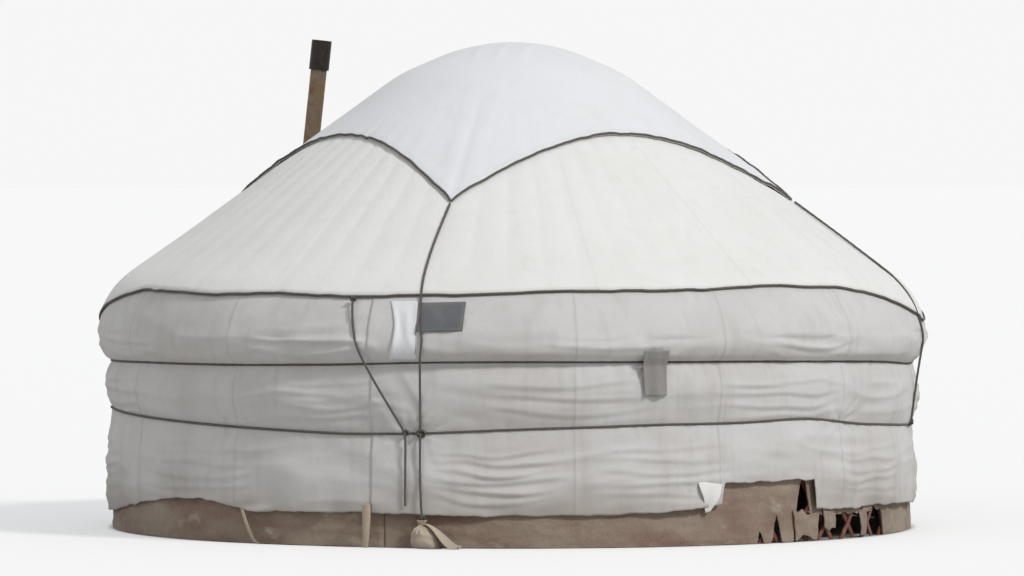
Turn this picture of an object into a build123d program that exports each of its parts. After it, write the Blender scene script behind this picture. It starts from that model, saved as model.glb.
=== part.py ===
from build123d import *
from math import asin, atan, ceil, cos, degrees, floor, hypot, radians, sin, sqrt, tan
import os

# A round trellis tent: a folding lattice wall, bent roof poles, a domed crown ring,
# layers of felt and canvas, and the ropes that hold them. Millimetres and degrees.
# Origin on the ground under the crown, +Z up, the doorway on the +Y side.
# In plan the tent has a straight side for each roof pole, where the cloth is drawn tight,
# and a crease between two poles. Radii are measured to the middle of the straight sides,
# and places round the tent are counted in bays from the middle of the doorway.

# Outline, on the outside of the canvas
canvas_radius = 3000
eave_height = 1300
eave_bend_radius = 676
eave_steps = 6
roof_pitch = 36.2

# Cloth layers
canvas_thickness = 3
felt_thickness = 12
crown_cover_thickness = 12
gap = 0.3

# Lattice wall, and the doorway that takes the place of some bays
section_count = 6
bays_per_section = 10
door_bays = 4
lattice_inset = 140
lattice_height = 1420
top_crossing_drop = 60
diamond_height = 355
lath_thickness = 12
lath_width = 32

# Roof poles
pole_width = 32
pole_thickness = 30
pole_bend_radius = 600
pole_bend_steps = 4
pole_tail_height = 1250
tenon_size = 18
tenon_length = 40

# Crown ring, its bars and the square cover over them
crown_radius = 840
ring_width = 62
ring_thickness = 60
bar_width = 28
bar_thickness = 22
bar_spacing = 165
bar_pitch = 24
bar_bend_steps = 6
crown_rise = 258
dome_pitch = 22.5
dome_steps = 3
dome_clearance = 3
crown_cover_reach = 2050

# Door frame, with a step round the opening where a door leaf would close
jamb_width = 70
frame_depth = 100
frame_inset = 245
lintel_top_height = 1500
lintel_thickness = 60
sill_height = 60
rebate_width = 18
rebate_depth = 30
curtain_roll_radius = 75
curtain_length = 1060
curtain_foot_steps = 3

# Wall felt and wall canvas, held in by two waist ropes
wall_felt_height = 1600
pinch_inset = 120
hem_height = 220
lower_rope_height = 810
upper_rope_height = 1250
lower_bulge = 38
middle_bulge = 50
wall_cover_top_inset = 360
front_seam_bays = 1
tear_angle = 50
tear_width = 850
tear_height = 434
felt_gap_angle = 68
felt_gap_width = 560
felt_gap_height = 200

# Roof cloths, with a canvas hem that is low at the sides and high at front and back
hem_side_height = 1360
hem_front_height = 1810
roof_felt_hem_steps = 4

# Ropes, and the sack that weights the front one
waist_rope_radius = 8
crown_rope_radius = 7
groove_margin = 3
sack_radius = 85
sack_foot_radius = 70
sack_neck_radius = 20
sack_belly_height = 60
sack_neck_height = 160
sack_height = 200

# Stove pipe, between two poles
pipe_radius = 60
pipe_wall = 3
pipe_top_height = 3530
pipe_foot_height = 2000
pipe_distance = 2000
pipe_bays = 11
pipe_lean = 6
pipe_lean_azimuth = 12
cap_radius = 74
cap_length = 220
cap_overhang = 10
flashing_half_bays = 1.25
flashing_half_run = 200
flashing_thickness = 2
collar_radius = 66
collar_height = 90
pipe_hole_radius = 72

# Worked out from the sizes above
pitch = radians(roof_pitch)
bend_angle = 90 - roof_pitch
bay_count = section_count * bays_per_section + door_bays
bay_angle = 360 / bay_count
door_edge = door_bays / 2
side_bay = bay_count // 4
front_bay = bay_count // 2
crease_share = cos(radians(bay_angle / 2))
eave_centre_radius = canvas_radius - eave_bend_radius
lattice_radius = canvas_radius - lattice_inset
pinch_radius = canvas_radius - pinch_inset
wall_cover_top_radius = canvas_radius - wall_cover_top_inset
frame_face = canvas_radius - frame_inset
slope_foot_radius = eave_centre_radius + eave_bend_radius * sin(pitch)
wall_cover_depth = canvas_thickness + gap
roof_felt_depth = wall_cover_depth + canvas_thickness + gap
pole_depth = roof_felt_depth + felt_thickness + gap
lattice_middle_radius = lattice_radius - lath_thickness
lattice_inner_radius = lattice_middle_radius - lath_thickness
pole_seat_radius = lattice_inner_radius - gap
jamb_outer = lattice_inner_radius / crease_share * sin(radians(door_edge * bay_angle)) - gap
jamb_middle = jamb_outer - jamb_width / 2
frame_middle = frame_face + frame_depth / 2
waist_rope_line = pinch_radius + gap + waist_rope_radius


def slope_height(radius, depth=0):
    """Height of the straight roof slope over a radius, at a depth under the outer canvas."""
    rise = eave_bend_radius * cos(pitch) + (slope_foot_radius - radius) * tan(pitch)
    return eave_height + rise - depth / cos(pitch)


def on_slope(radius, depth=0):
    """Point of the radial plane on the roof slope, at a depth under the outer canvas."""
    return (radius, slope_height(radius, depth))


def arc_points(centre, reach, low, high, steps):
    """Points of an arc in the radial plane, between two angles above level."""
    angles = [radians(low + (high - low) * step / steps) for step in range(steps + 1)]
    return [(centre[0] + reach * cos(angle), centre[1] + reach * sin(angle)) for angle in angles]


def eave_points(first_step, depth):
    """Points of the rounded eave from one of its steps up to the slope, at a depth."""
    low = bend_angle * first_step / eave_steps
    centre = (eave_centre_radius, eave_height)
    return arc_points(centre, eave_bend_radius - depth, low, bend_angle, eave_steps - first_step)


def crown_point(along, depth):
    """Point up the slope from the crown ring's outer face, at a depth under the canvas."""
    return (
        crown_radius - along * cos(pitch) - depth * sin(pitch),
        slope_height(crown_radius) + along * sin(pitch) - depth * cos(pitch),
    )


def azimuth(bays):
    """Azimuth from +X of a place counted in bays from the middle of the doorway."""
    return 90 + bays * bay_angle


def placed(point, bays):
    """Point of the radial plane, put on the straight side or crease at a place in bays."""
    from_middle = radians((bays - floor(bays) - 0.5) * bay_angle)
    radius = point[0] / cos(from_middle)
    angle = radians(azimuth(bays))
    return (radius * cos(angle), radius * sin(angle), point[1])


def turned(shape, bays):
    """A shape made over +X, turned about the tent's axis to a place in bays."""
    return shape.rotate(Axis.Z, azimuth(bays))


def polygon(points):
    """Flat face through points in space."""
    return Face(Wire.make_polygon(points))


def radial_face(points):
    """Closed face of straight edges in the radial plane over +X."""
    return make_face(Polyline(*[(radius, 0, height) for radius, height in points], close=True))


def sided_between(outline_at, first, last):
    """Solid in straight sides between creases, with its outline given for each place."""
    places = [first] + list(range(floor(first) + 1, ceil(last))) + [last]
    outlines = [[placed(point, place) for point in outline_at(place)] for place in places]
    rims = list(zip(*outlines))
    faces = []
    for rim, beside in zip(rims, rims[1:] + rims[:1]):
        for near in range(len(places) - 1):
            corners = [rim[near], rim[near + 1], beside[near + 1], beside[near]]
            distinct = list(dict.fromkeys(corners))
            if len(distinct) > 2:
                faces.append(polygon(distinct))
    if last - first < bay_count:
        faces.append(polygon([rim[0] for rim in rims]))
        faces.append(polygon([rim[-1] for rim in rims]))
    return Solid(Shell(faces))


def sided(points, first, last):
    """Solid with the same outline in every radial plane, in straight sides between creases."""
    return sided_between(lambda place: points, first, last)


# Lattice wall

def lath_length(rise, foot, inner, outer):
    """One bay's length of a lath, between two radii, that climbs or falls by a diamond."""
    half = lath_width / 2 * hypot(1, diamond_height / (outer * radians(bay_angle)))

    def end(bays, height):
        return [
            placed((inner, height - half), bays), placed((outer, height - half), bays),
            placed((outer, height + half), bays), placed((inner, height + half), bays),
        ]

    near = end(0, foot)
    far = end(1, foot + rise)
    return Solid(Shell([polygon(outline) for outline in (
        near, far,
        [near[1], near[2], far[2], far[1]], [near[0], near[3], far[3], far[0]],
        [near[2], near[3], far[3]], [near[2], far[3], far[2]],
        [near[0], near[1], far[1]], [near[0], far[1], far[0]],
    )]))


def lattice_section():
    """Laths in two layers, joined where they cross and cut level at head and foot."""
    rows = int(lattice_height / diamond_height) + 2
    top_crossing = lattice_height - top_crossing_drop
    laths = []
    for row in range(-1, rows):
        low = top_crossing - (row + 0.5) * diamond_height
        high = low + diamond_height
        laths.append(lath_length(diamond_height, low, lattice_middle_radius, lattice_radius))
        laths.append(
            lath_length(-diamond_height, high, lattice_inner_radius, lattice_middle_radius)
        )
    wall = extrude(Circle(lattice_radius + lath_width), amount=lattice_height)
    bay = laths[0].fuse(*laths[1:]) & wall
    bays = [bay.rotate(Axis.Z, number * bay_angle) for number in range(bays_per_section)]
    return bays[0].fuse(*bays[1:]).solids().sort_by(SortBy.VOLUME)[-1]


# Roof poles

def pole_side(inset, tail_height):
    """One edge of a pole in the radial plane, from its tail to the shoulder of its tenon."""
    reach = pole_bend_radius - inset
    centre_radius = pole_seat_radius - pole_bend_radius
    slope_start = centre_radius + pole_bend_radius * sin(pitch)
    centre_height = slope_height(slope_start, pole_depth) - pole_bend_radius * cos(pitch)
    centre = (centre_radius, centre_height)
    head = crown_point(-gap, pole_depth + inset)
    if tail_height < centre_height:
        bend = arc_points(centre, reach, 0, bend_angle, pole_bend_steps)
        return [(centre_radius + reach, tail_height)] + bend + [head]
    first = degrees(asin((tail_height - centre_height) / reach))
    return arc_points(centre, reach, first, bend_angle, pole_bend_steps) + [head]


def tenon(clearance, start, end):
    """Square tongue at a pole's upper end, or the mortise for it when given a clearance."""
    middle = pole_depth + pole_thickness / 2
    half = tenon_size / 2 + clearance
    outline = radial_face([
        crown_point(start, middle - half), crown_point(end, middle - half),
        crown_point(end, middle + half), crown_point(start, middle + half),
    ])
    return extrude(outline, amount=half, dir=(0, 1, 0), both=True)


def roof_pole(tail_height):
    """Bent pole: upright tail, rounded shoulder, straight length and square tongue."""
    outline = pole_side(0, tail_height) + pole_side(pole_thickness, tail_height)[::-1]
    body = extrude(radial_face(outline), amount=pole_width / 2, dir=(0, 1, 0), both=True)
    return (body + tenon(0, -gap, tenon_length)).solid()


def pole_set(tail_height, first, count):
    """A pole in the middle of each bay, from the first bay."""
    pole = roof_pole(tail_height)
    return Compound(children=[turned(pole, first + bay + 0.5) for bay in range(count)])


# Crown

def plain_ring():
    """Ring of bent wood, square to the poles."""
    low = pole_depth + ring_thickness
    return sided([
        crown_point(0, pole_depth), crown_point(ring_width, pole_depth),
        crown_point(ring_width, low), crown_point(0, low),
    ], 0, bay_count)


def crown_ring():
    """The ring, with a mortise for each pole's tongue."""
    mortise = tenon(gap, -tenon_size, tenon_length + gap)
    return (plain_ring() - [turned(mortise, bay + 0.5) for bay in range(bay_count)]).solid()


def flank_radius(flank_pitch, half_span, rise):
    """Radius that rounds the top of a gable of a pitch over a half span, to leave a rise."""
    angle = radians(flank_pitch)
    return (half_span * tan(angle) - rise) / (1 / cos(angle) - 1)


bar_half_span, bar_foot_height = crown_point(ring_width / 2, pole_depth)
bar_bend_radius = flank_radius(bar_pitch, bar_half_span, crown_rise)
bar_top_height = bar_foot_height + crown_rise
cloth_top_radius = bar_half_span - gap


def bar_side(inset):
    """One edge of a crown bar, straight at the ends and rounded over the middle."""
    centre = (0, bar_top_height - bar_bend_radius)
    reach = bar_bend_radius - inset
    bend = arc_points(centre, reach, 90 - bar_pitch, 90 + bar_pitch, bar_bend_steps)
    shoulder_radius, shoulder_height = bend[0]
    drop = (bar_half_span - shoulder_radius) * tan(radians(bar_pitch))
    foot_height = shoulder_height - drop
    return [(bar_half_span, foot_height)] + bend + [(-bar_half_span, foot_height)]


def crown_bars():
    """Two sets of three bent bars that cross over the opening and end against the ring."""
    blank = radial_face(bar_side(0) + bar_side(bar_thickness)[::-1])
    bar = extrude(blank, amount=bar_width / 2, dir=(0, 1, 0), both=True)
    drop = bar_bend_radius - sqrt(bar_bend_radius ** 2 - bar_spacing ** 2)
    three = [Pos(0, -bar_spacing, -drop) * bar, bar, Pos(0, bar_spacing, -drop) * bar]
    bars = Part() + three + [piece.rotate(Axis.Z, 90) for piece in three]
    return (bars - plain_ring()).solids().sort_by(SortBy.VOLUME)[-1]


def crown_cover_side(inset, reach):
    """Outline of one side of the crown cover: half the dome and the slope out to its hem."""
    foot_radius = cloth_top_radius - gap
    foot_height = slope_height(foot_radius, -gap)
    top_height = bar_top_height + dome_clearance
    bend = flank_radius(dome_pitch, foot_radius, top_height - foot_height)
    top = (0, top_height + inset)
    dome = arc_points((0, top_height - bend), bend + inset, 90, 90 - dome_pitch, dome_steps)
    mitre = inset / cos(radians((roof_pitch - dome_pitch) / 2))
    middle = radians((dome_pitch + roof_pitch) / 2)
    foot = (foot_radius + mitre * sin(middle), foot_height + mitre * cos(middle))
    return [top] + dome[1:] + [foot, on_slope(reach, -gap - inset)]


def crown_cover():
    """Square cloth over the crown: domed on the bars, then flat down the roof to its corners."""
    def outline_at(place):
        turn = radians(place * bay_angle)
        reach = crown_cover_reach * crease_share / (abs(cos(turn)) + abs(sin(turn)))
        outer = crown_cover_side(crown_cover_thickness, reach)
        return outer + crown_cover_side(0, reach)[::-1]

    return sided_between(outline_at, 0, bay_count)


# Roof cloths

def roof_layer(depth, thickness, first_step, top_radius):
    """Outline of a cloth from a step of the eave up the roof."""
    outer = eave_points(first_step, depth) + [on_slope(top_radius, depth)]
    inside = depth + thickness
    inner = eave_points(first_step, inside) + [on_slope(top_radius, inside)]
    return outer + inner[::-1]


def under_hem():
    """Everything below the roof canvas's hem, half an ellipse when seen from the front."""
    rise = hem_front_height - hem_side_height
    across = canvas_radius / crease_share + gap
    shares = [sin(radians(bays * bay_angle)) for bays in range(-side_bay, side_bay + 1)]
    hem = [(across * share, hem_side_height + rise * sqrt(1 - share ** 2)) for share in shares]
    outline = hem + [(2 * across, hem_side_height), (2 * across, 0)]
    outline += [(-2 * across, 0), (-2 * across, hem_side_height)]
    return extrude(radial_face(outline), amount=2 * across, dir=(0, 1, 0), both=True)


# Wall cloths

def wall_side(inset):
    """One side of the wall canvas from hem to top, an inset inside its outer face."""
    groove = waist_rope_radius + groove_margin
    pinch = pinch_radius - inset
    depth = wall_cover_depth + inset
    lower_top = lower_rope_height - groove
    middle_foot = lower_rope_height + groove
    middle_top = upper_rope_height - groove
    return [
        (pinch, hem_height),
        (pinch + lower_bulge, (hem_height + lower_top) / 2),
        (pinch, lower_top),
        (pinch, middle_foot),
        (pinch + middle_bulge, (middle_foot + middle_top) / 2),
        (pinch, middle_top),
        (pinch, upper_rope_height + groove),
    ] + eave_points(1, depth) + [on_slope(wall_cover_top_radius, depth)]


def wall_felt_outline():
    """Outline of the wall felt, which stands on the ground against the lattice."""
    inner = lattice_radius + gap
    outer = inner + felt_thickness
    return [(inner, 0), (outer, 0), (outer, wall_felt_height), (inner, wall_felt_height)]


def foot_notch(angle, width, height):
    """Cutter for a missing piece at the wall's foot, at an angle round from the front."""
    block = Pos(pinch_radius, 0, 0) * Box(pinch_radius / 10, width, 2 * height)
    return turned(block, front_bay + angle / bay_angle)


def wall_cloths():
    """Felt and canvas of the wall, each in four lengths that meet at the sides and the front."""
    front_seam = front_bay - front_seam_bays
    lengths = {
        "back_left": (door_edge, side_bay), "front_left": (side_bay, front_seam),
        "front_right": (front_seam, front_bay + side_bay),
        "back_right": (front_bay + side_bay, bay_count - door_edge),
    }
    canvas = wall_side(0) + wall_side(canvas_thickness)[::-1]
    parts = {}
    for name, (first, last) in lengths.items():
        parts[f"wall_felt_{name}"] = sided(wall_felt_outline(), first, last)
        parts[f"wall_cover_{name}"] = sided(canvas, first, last)
    torn = foot_notch(tear_angle, tear_width, tear_height)
    worn = foot_notch(felt_gap_angle, felt_gap_width, felt_gap_height)
    parts["wall_cover_front_right"] = (parts["wall_cover_front_right"] - torn).solid()
    parts["wall_felt_front_right"] = (parts["wall_felt_front_right"] - worn).solid()
    return parts


# Doorway

def door_frame():
    """Two jambs, a lintel and a sill, with a rebate round the opening on the outer side."""
    jamb_height = lintel_top_height - lintel_thickness
    half_width = jamb_outer - jamb_width
    rebate = Pos(0, frame_face + frame_depth, (sill_height + jamb_height) / 2) * Box(
        2 * (half_width + rebate_width), 2 * rebate_depth,
        jamb_height - sill_height + 2 * rebate_width,
    )
    on_ground = (Align.CENTER, Align.CENTER, Align.MIN)
    jamb = Box(jamb_width, frame_depth, jamb_height, align=on_ground)
    lintel = Box(2 * jamb_outer, frame_depth, lintel_thickness, align=on_ground)
    sill = Box(2 * half_width, frame_depth, sill_height, align=on_ground)
    return {
        "door_jamb_left": Pos(-jamb_middle, frame_middle, 0) * jamb - rebate,
        "door_jamb_right": Pos(jamb_middle, frame_middle, 0) * jamb - rebate,
        "door_lintel": Pos(0, frame_middle, jamb_height) * lintel - rebate,
        "door_sill": Pos(0, frame_middle, 0) * sill - rebate,
    }


def door_curtain():
    """Cloth that comes out from under the roof canvas and is rolled up over the doorway."""
    roll_line = frame_face + frame_depth + gap + curtain_roll_radius
    roll_height = lintel_top_height + curtain_roll_radius
    half_bays = degrees(asin(curtain_length / 2 / roll_line)) / bay_angle
    outline = roof_layer(
        wall_cover_depth, canvas_thickness, curtain_foot_steps, wall_cover_top_radius,
    )
    to_roll = [outline[0], (outline[0][0], roll_height), outline[-1]]
    roll = Cylinder(curtain_roll_radius, curtain_length, rotation=(0, 90, 0))
    cloth = sided(outline, -half_bays, half_bays) + sided(to_roll, -half_bays, half_bays)
    return (cloth + Pos(0, roll_line, roll_height) * roll).solid()


# Ropes

def waist_rope(height):
    """Rope drawn round the wall canvas from one door jamb to the other."""
    middle = radians((door_edge - 0.5) * bay_angle)
    reach = jamb_outer + gap
    side = waist_rope_radius / crease_share
    inner = waist_rope_line - side
    end = degrees(atan(reach * cos(middle) / (inner - reach * sin(middle)))) / bay_angle
    outline = [
        (waist_rope_line - side, height), (waist_rope_line, height - side),
        (waist_rope_line + side, height), (waist_rope_line, height + side),
    ]
    return sided(outline, end, bay_count - end)


def taut_rope(points, bays):
    """Rope of six sides through points of the radial plane, on a crease."""
    path = Polyline(*[(radius / crease_share, 0, height) for radius, height in points])
    section = Plane(origin=path @ 0, z_dir=path % 0) * RegularPolygon(crown_rope_radius, 6)
    return turned(sweep(section, path=path, transition=Transition.RIGHT), bays)


def rope_to_waist():
    """Points of a rope from a corner of the crown cover over the eave to the lower waist rope."""
    depth = -gap - crown_rope_radius
    start = on_slope(crown_cover_reach + gap + crown_rope_radius, depth)
    knot_radius = waist_rope_line + waist_rope_radius + 2 * gap + crown_rope_radius
    knot_height = lower_rope_height + waist_rope_radius + crown_rope_radius
    return [start] + eave_points(-1, depth)[::-1] + [(knot_radius, knot_height)]


sack_line = (lattice_radius + felt_thickness + gap) / crease_share + gap + sack_radius


def crown_ropes():
    """Ropes from the crown cover's four corners; the front one runs on to the weight sack."""
    to_waist = rope_to_waist()
    knot_radius, knot_height = to_waist[-1]
    foot_radius = sack_line * crease_share
    lean = (foot_radius - knot_radius) / (knot_height - sack_height)
    to_sack = to_waist + [(foot_radius, sack_height + gap + crown_rope_radius * lean)]
    return {
        "crown_rope_front": taut_rope(to_sack, front_bay),
        "crown_rope_left": taut_rope(to_waist, side_bay),
        "crown_rope_right": taut_rope(to_waist, -side_bay),
        "crown_rope_back": taut_rope(to_waist[:2], 0),
    }


def weight_sack():
    """Cloth sack, tied at the neck, that hangs its weight on the front rope."""
    sack = revolve(radial_face([
        (0, 0), (sack_foot_radius, 0), (sack_radius, sack_belly_height),
        (sack_neck_radius, sack_neck_height), (sack_foot_radius, sack_height), (0, sack_height),
    ]), Axis.Z, 360)
    return turned(Pos(sack_line, 0, 0) * sack, front_bay)


# Stove pipe

pipe_roof_height = slope_height(pipe_distance)
pipe_above = (pipe_top_height - pipe_roof_height) / cos(radians(pipe_lean))
pipe_below = (pipe_roof_height - pipe_foot_height) / cos(radians(pipe_lean))


def on_pipe(shape, drop):
    """A shape that stands on the ground plane, set on the leaning pipe below the roof by a drop."""
    lean = Rot(0, 0, pipe_lean_azimuth) * Rot(0, pipe_lean, 0) * Pos(0, 0, -drop)
    return Pos(*placed((pipe_distance, pipe_roof_height), pipe_bays)) * lean * shape


def tube(outer, inner, length):
    """Upright tube that stands on the ground plane."""
    return extrude(Circle(outer) - Circle(inner), amount=length)


def pipe_flashing():
    """Thin plate on the roof canvas, with a collar that the pipe passes through."""
    half_run = flashing_half_run * cos(pitch)
    near = pipe_distance - half_run
    far = pipe_distance + half_run
    first = pipe_bays - flashing_half_bays
    last = pipe_bays + flashing_half_bays
    top = gap + flashing_thickness
    plate = sided([
        on_slope(near, -gap), on_slope(far, -gap), on_slope(far, -top), on_slope(near, -top),
    ], first, last)
    roof_space = sided([
        on_slope(near, -gap), on_slope(far, -gap), (far, pipe_top_height), (near, pipe_top_height),
    ], first, last)
    collar = on_pipe(Cylinder(collar_radius, 2 * collar_height), 0) & roof_space
    bore = on_pipe(Cylinder(pipe_radius + gap, 4 * collar_height), 0)
    return (plate + collar - bore).solid()


def pipe_parts():
    """The pipe, the wider length over its top, and the flashing."""
    pipe = tube(pipe_radius, pipe_radius - pipe_wall, pipe_below + pipe_above - cap_overhang)
    cap = tube(cap_radius, pipe_radius + gap, cap_length)
    return {
        "stove_pipe": on_pipe(pipe, pipe_below),
        "pipe_cap": on_pipe(cap, cap_length - pipe_above),
        "pipe_flashing": pipe_flashing(),
    }


# The whole tent

def frame_parts():
    """Lattice sections, roof poles, crown and door frame."""
    parts = {}
    section = lattice_section()
    for number in range(section_count):
        first = door_edge + number * bays_per_section
        parts[f"lattice_section_{number + 1}"] = section.rotate(Axis.Z, first * bay_angle)
        parts[f"roof_poles_{number + 1}"] = pole_set(pole_tail_height, first, bays_per_section)
    parts["roof_poles_door"] = pole_set(lintel_top_height + gap, -door_edge, door_bays)
    parts["crown_ring"] = crown_ring()
    parts["crown_bars"] = crown_bars()
    parts.update(door_frame())
    return parts


def roof_cloths():
    """Felt and canvas of the roof in two halves, and the crown cover."""
    pipe_hole = on_pipe(Cylinder(pipe_hole_radius, 4 * collar_height), 0)
    felt = roof_layer(roof_felt_depth, felt_thickness, roof_felt_hem_steps, cloth_top_radius)
    canvas = roof_layer(0, canvas_thickness, 0, cloth_top_radius)
    back = (-side_bay, side_bay)
    front = (side_bay, bay_count - side_bay)
    below = under_hem()
    return {
        "roof_felt_front": sided(felt, *front),
        "roof_felt_back": (sided(felt, *back) - pipe_hole).solid(),
        "roof_cover_front": (sided(canvas, *front) - below).solid(),
        "roof_cover_back": (sided(canvas, *back) - below - pipe_hole).solid(),
        "crown_cover": crown_cover(),
    }


def build():
    """All the tent's pieces, by name."""
    parts = frame_parts()
    parts.update(wall_cloths())
    parts.update(roof_cloths())
    parts["door_curtain"] = door_curtain()
    parts["waist_rope_lower"] = waist_rope(lower_rope_height)
    parts["waist_rope_upper"] = waist_rope(upper_rope_height)
    parts.update(crown_ropes())
    parts["weight_sack"] = weight_sack()
    parts.update(pipe_parts())
    return parts


os.makedirs("parts", exist_ok=True)
for name, shape in build().items():
    export_step(shape, f"parts/{name}.step")
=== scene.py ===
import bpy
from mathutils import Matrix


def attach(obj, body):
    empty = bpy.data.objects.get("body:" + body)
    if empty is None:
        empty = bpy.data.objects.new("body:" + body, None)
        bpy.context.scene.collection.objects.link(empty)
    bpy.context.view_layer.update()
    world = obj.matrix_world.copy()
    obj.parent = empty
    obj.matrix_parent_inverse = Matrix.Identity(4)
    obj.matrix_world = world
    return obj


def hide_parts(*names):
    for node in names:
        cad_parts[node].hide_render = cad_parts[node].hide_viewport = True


bl_info = {
    "name": "Round Trellis Tent",
    "version": (1, 0, 0),
    "blender": (4, 5, 0),
    "location": "View3D > Sidebar > Tent",
    "description": "Dresses a felt and canvas tent on its wooden frame",
    "category": "Object",
}

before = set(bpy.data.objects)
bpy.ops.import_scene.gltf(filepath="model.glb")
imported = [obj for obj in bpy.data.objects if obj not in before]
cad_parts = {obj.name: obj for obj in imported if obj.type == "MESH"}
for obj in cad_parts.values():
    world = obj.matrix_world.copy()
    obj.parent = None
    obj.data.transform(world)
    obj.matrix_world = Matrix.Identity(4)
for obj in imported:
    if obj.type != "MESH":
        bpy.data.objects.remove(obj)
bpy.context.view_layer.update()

from math import ceil, cos, pi, radians, sin, tan

import bpy
import numpy as np
from bpy.props import FloatProperty, FloatVectorProperty, IntProperty, PointerProperty
from mathutils import Vector

# Places round the tent are azimuths in degrees from the front, positive towards +X.
# The doorway is at 180. Lengths are metres.

# The roof's line: its slope, and the round of the eave by its centre and its bend's radius.
SLOPE = radians(36.2)
EAVE_CENTRE = (2.324, 1.3)
EAVE_BEND = 0.676
SLOPE_FOOT = EAVE_CENTRE[0] + EAVE_BEND * sin(SLOPE)
SLOPE_FOOT_HEIGHT = EAVE_CENTRE[1] + EAVE_BEND * cos(SLOPE)

# Degrees from pole to pole, and from the middle of the doorway to its edge.
BAY = 5.625
DOOR_EDGE = 11.3

# Radii of the wall: where the ropes pinch it in, the felt's outer side, and those at which
# cloths are measured.
WALL_PINCH = 2.882
FELT_FACE = 2.8726
FELT_RADIUS = 2.87
CANVAS_RADIUS = 2.93
ROOF_MEASURE = 2.2

# The wall canvas's round under the eave: its bend, where it starts and how far it runs on up.
INNER_BEND = EAVE_BEND - 0.004
SHOULDER_ANGLE = 0.21
UNDER_ROOF = 0.104

# Heights of the wall felt's top and the roof felt's foot
FELT_TOP = 1.597
FELT_FOOT = 1.7

# Azimuth and radius of the pipe's plate on the roof
PLATE_AZIMUTH = -118.1
PLATE_RADIUS = 2.0

# Azimuths of the edges of the notch in the canvas, and of the worn gap in the felt
NOTCH_EDGES = (41.6, 42.2, 58.0, 58.6)
WORN_EDGES = (59.3, 77.6)

# Azimuth and height of the places along each rope and hem
UPPER_ROPE = (
    (-180, 1.25), (-110, 1.24), (-90, 1.2), (-75, 1.205), (-50, 1.225), (-30, 1.232), (-12, 1.25),
    (0, 1.27), (12, 1.275), (30, 1.27), (45, 1.265), (60, 1.25), (75, 1.23), (90, 1.19),
    (105, 1.21), (130, 1.25), (180, 1.25),
)
LOWER_ROPE = (
    (-180, 0.81), (-100, 0.84), (-71, 0.87), (-44, 0.828), (-27, 0.8), (-11, 0.775), (-1, 0.783),
    (13, 0.815), (32, 0.84), (45, 0.842), (57, 0.862), (69, 0.8), (92, 0.75), (110, 0.79),
    (180, 0.81),
)
WALL_HEM = (
    (-180, 0.2), (-150, 0.21), (-120, 0.18), (-92, 0.2), (-80, 0.15), (-68, 0.135), (-58, 0.2),
    (-44, 0.275), (-36, 0.305), (-31, 0.26), (-25, 0.225), (-10, 0.24), (4, 0.22), (22, 0.222),
    (32, 0.235), (37, 0.262), (41.6, 0.29), (42.2, 0.437), (47, 0.43), (53, 0.436), (58, 0.434),
    (58.6, 0.222), (66, 0.212), (77, 0.22), (90, 0.2), (115, 0.215), (150, 0.19), (180, 0.2),
)
ROOF_HEM = (
    (-180, 1.8), (-150, 1.79), (-125, 1.74), (-108, 1.6), (-98, 1.45), (-92, 1.38), (-86, 1.42),
    (-78, 1.513), (-68, 1.625), (-58, 1.703), (-48, 1.736), (-36, 1.712), (-24, 1.724),
    (-10, 1.712), (4, 1.725), (20, 1.747), (36, 1.75), (50, 1.774), (62, 1.762), (72, 1.715),
    (81, 1.628), (88, 1.55), (94, 1.49), (104, 1.56), (125, 1.72), (150, 1.79), (180, 1.8),
)


def table_value(table, azimuth):
    """Value of a table at azimuths, by straight lines between its places."""
    places, values = zip(*table)
    return np.interp(azimuth, places, values)


def smooth_value(table, azimuth):
    """Value of a table at azimuths, averaged over a few degrees."""
    azimuth = np.asarray(azimuth, float)
    shifts = np.linspace(-3, 3, 7)
    return sum(table_value(table, azimuth + shift) for shift in shifts) / len(shifts)


def speckle(u, v, size_u, size_v, seed):
    """Smooth seeded noise from -1 to 1 over a surface, with cells of a size in metres."""
    grid = np.random.default_rng(seed).uniform(-1, 1, (97, 89))
    x = np.asarray(u, float) / size_u + 1000
    y = np.asarray(v, float) / size_v + 1000
    column = np.floor(x).astype(int)
    row = np.floor(y).astype(int)
    a = x - column
    b = y - row
    a = a * a * (3 - 2 * a)
    b = b * b * (3 - 2 * b)
    near = grid[column % 97, row % 89] * (1 - a) + grid[(column + 1) % 97, row % 89] * a
    far = grid[column % 97, (row + 1) % 89] * (1 - a) + grid[(column + 1) % 97, (row + 1) % 89] * a
    return near * (1 - b) + far * b


def on_tent(radius, azimuth, height):
    """Points at radii, azimuths and heights."""
    turn = np.radians(azimuth)
    radius, turn, height = np.broadcast_arrays(radius, turn, height)
    return np.stack([radius * np.sin(turn), -radius * np.cos(turn), height], axis=-1)


def way_round(azimuth, radius, heights):
    """Lengths round the tent at a radius, for each point of a grid with these heights."""
    return np.radians(azimuth)[None, :] * radius + 0 * heights


def gathered(*parts):
    """Grid of points from coordinates that are spread to one shape."""
    return np.stack(np.broadcast_arrays(*parts), axis=-1)


def roof_line():
    """The roof's outer side in the radial plane, from the eave to the crown, with its lengths."""
    angles = np.linspace(-0.2, pi / 2 - SLOPE, 60)
    radius = EAVE_CENTRE[0] + EAVE_BEND * np.cos(angles)
    height = EAVE_CENTRE[1] + EAVE_BEND * np.sin(angles)
    slope = np.linspace(SLOPE_FOOT, 0.5, 60)[1:]
    radius = np.concatenate([radius, slope])
    height = np.concatenate([height, SLOPE_FOOT_HEIGHT + (SLOPE_FOOT - slope) * tan(SLOPE)])
    steps = np.hypot(np.diff(radius), np.diff(height))
    return radius, height, np.concatenate([[0], np.cumsum(steps)])


ROOF_RADIUS, ROOF_HEIGHT, ROOF_LENGTH = roof_line()


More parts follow.
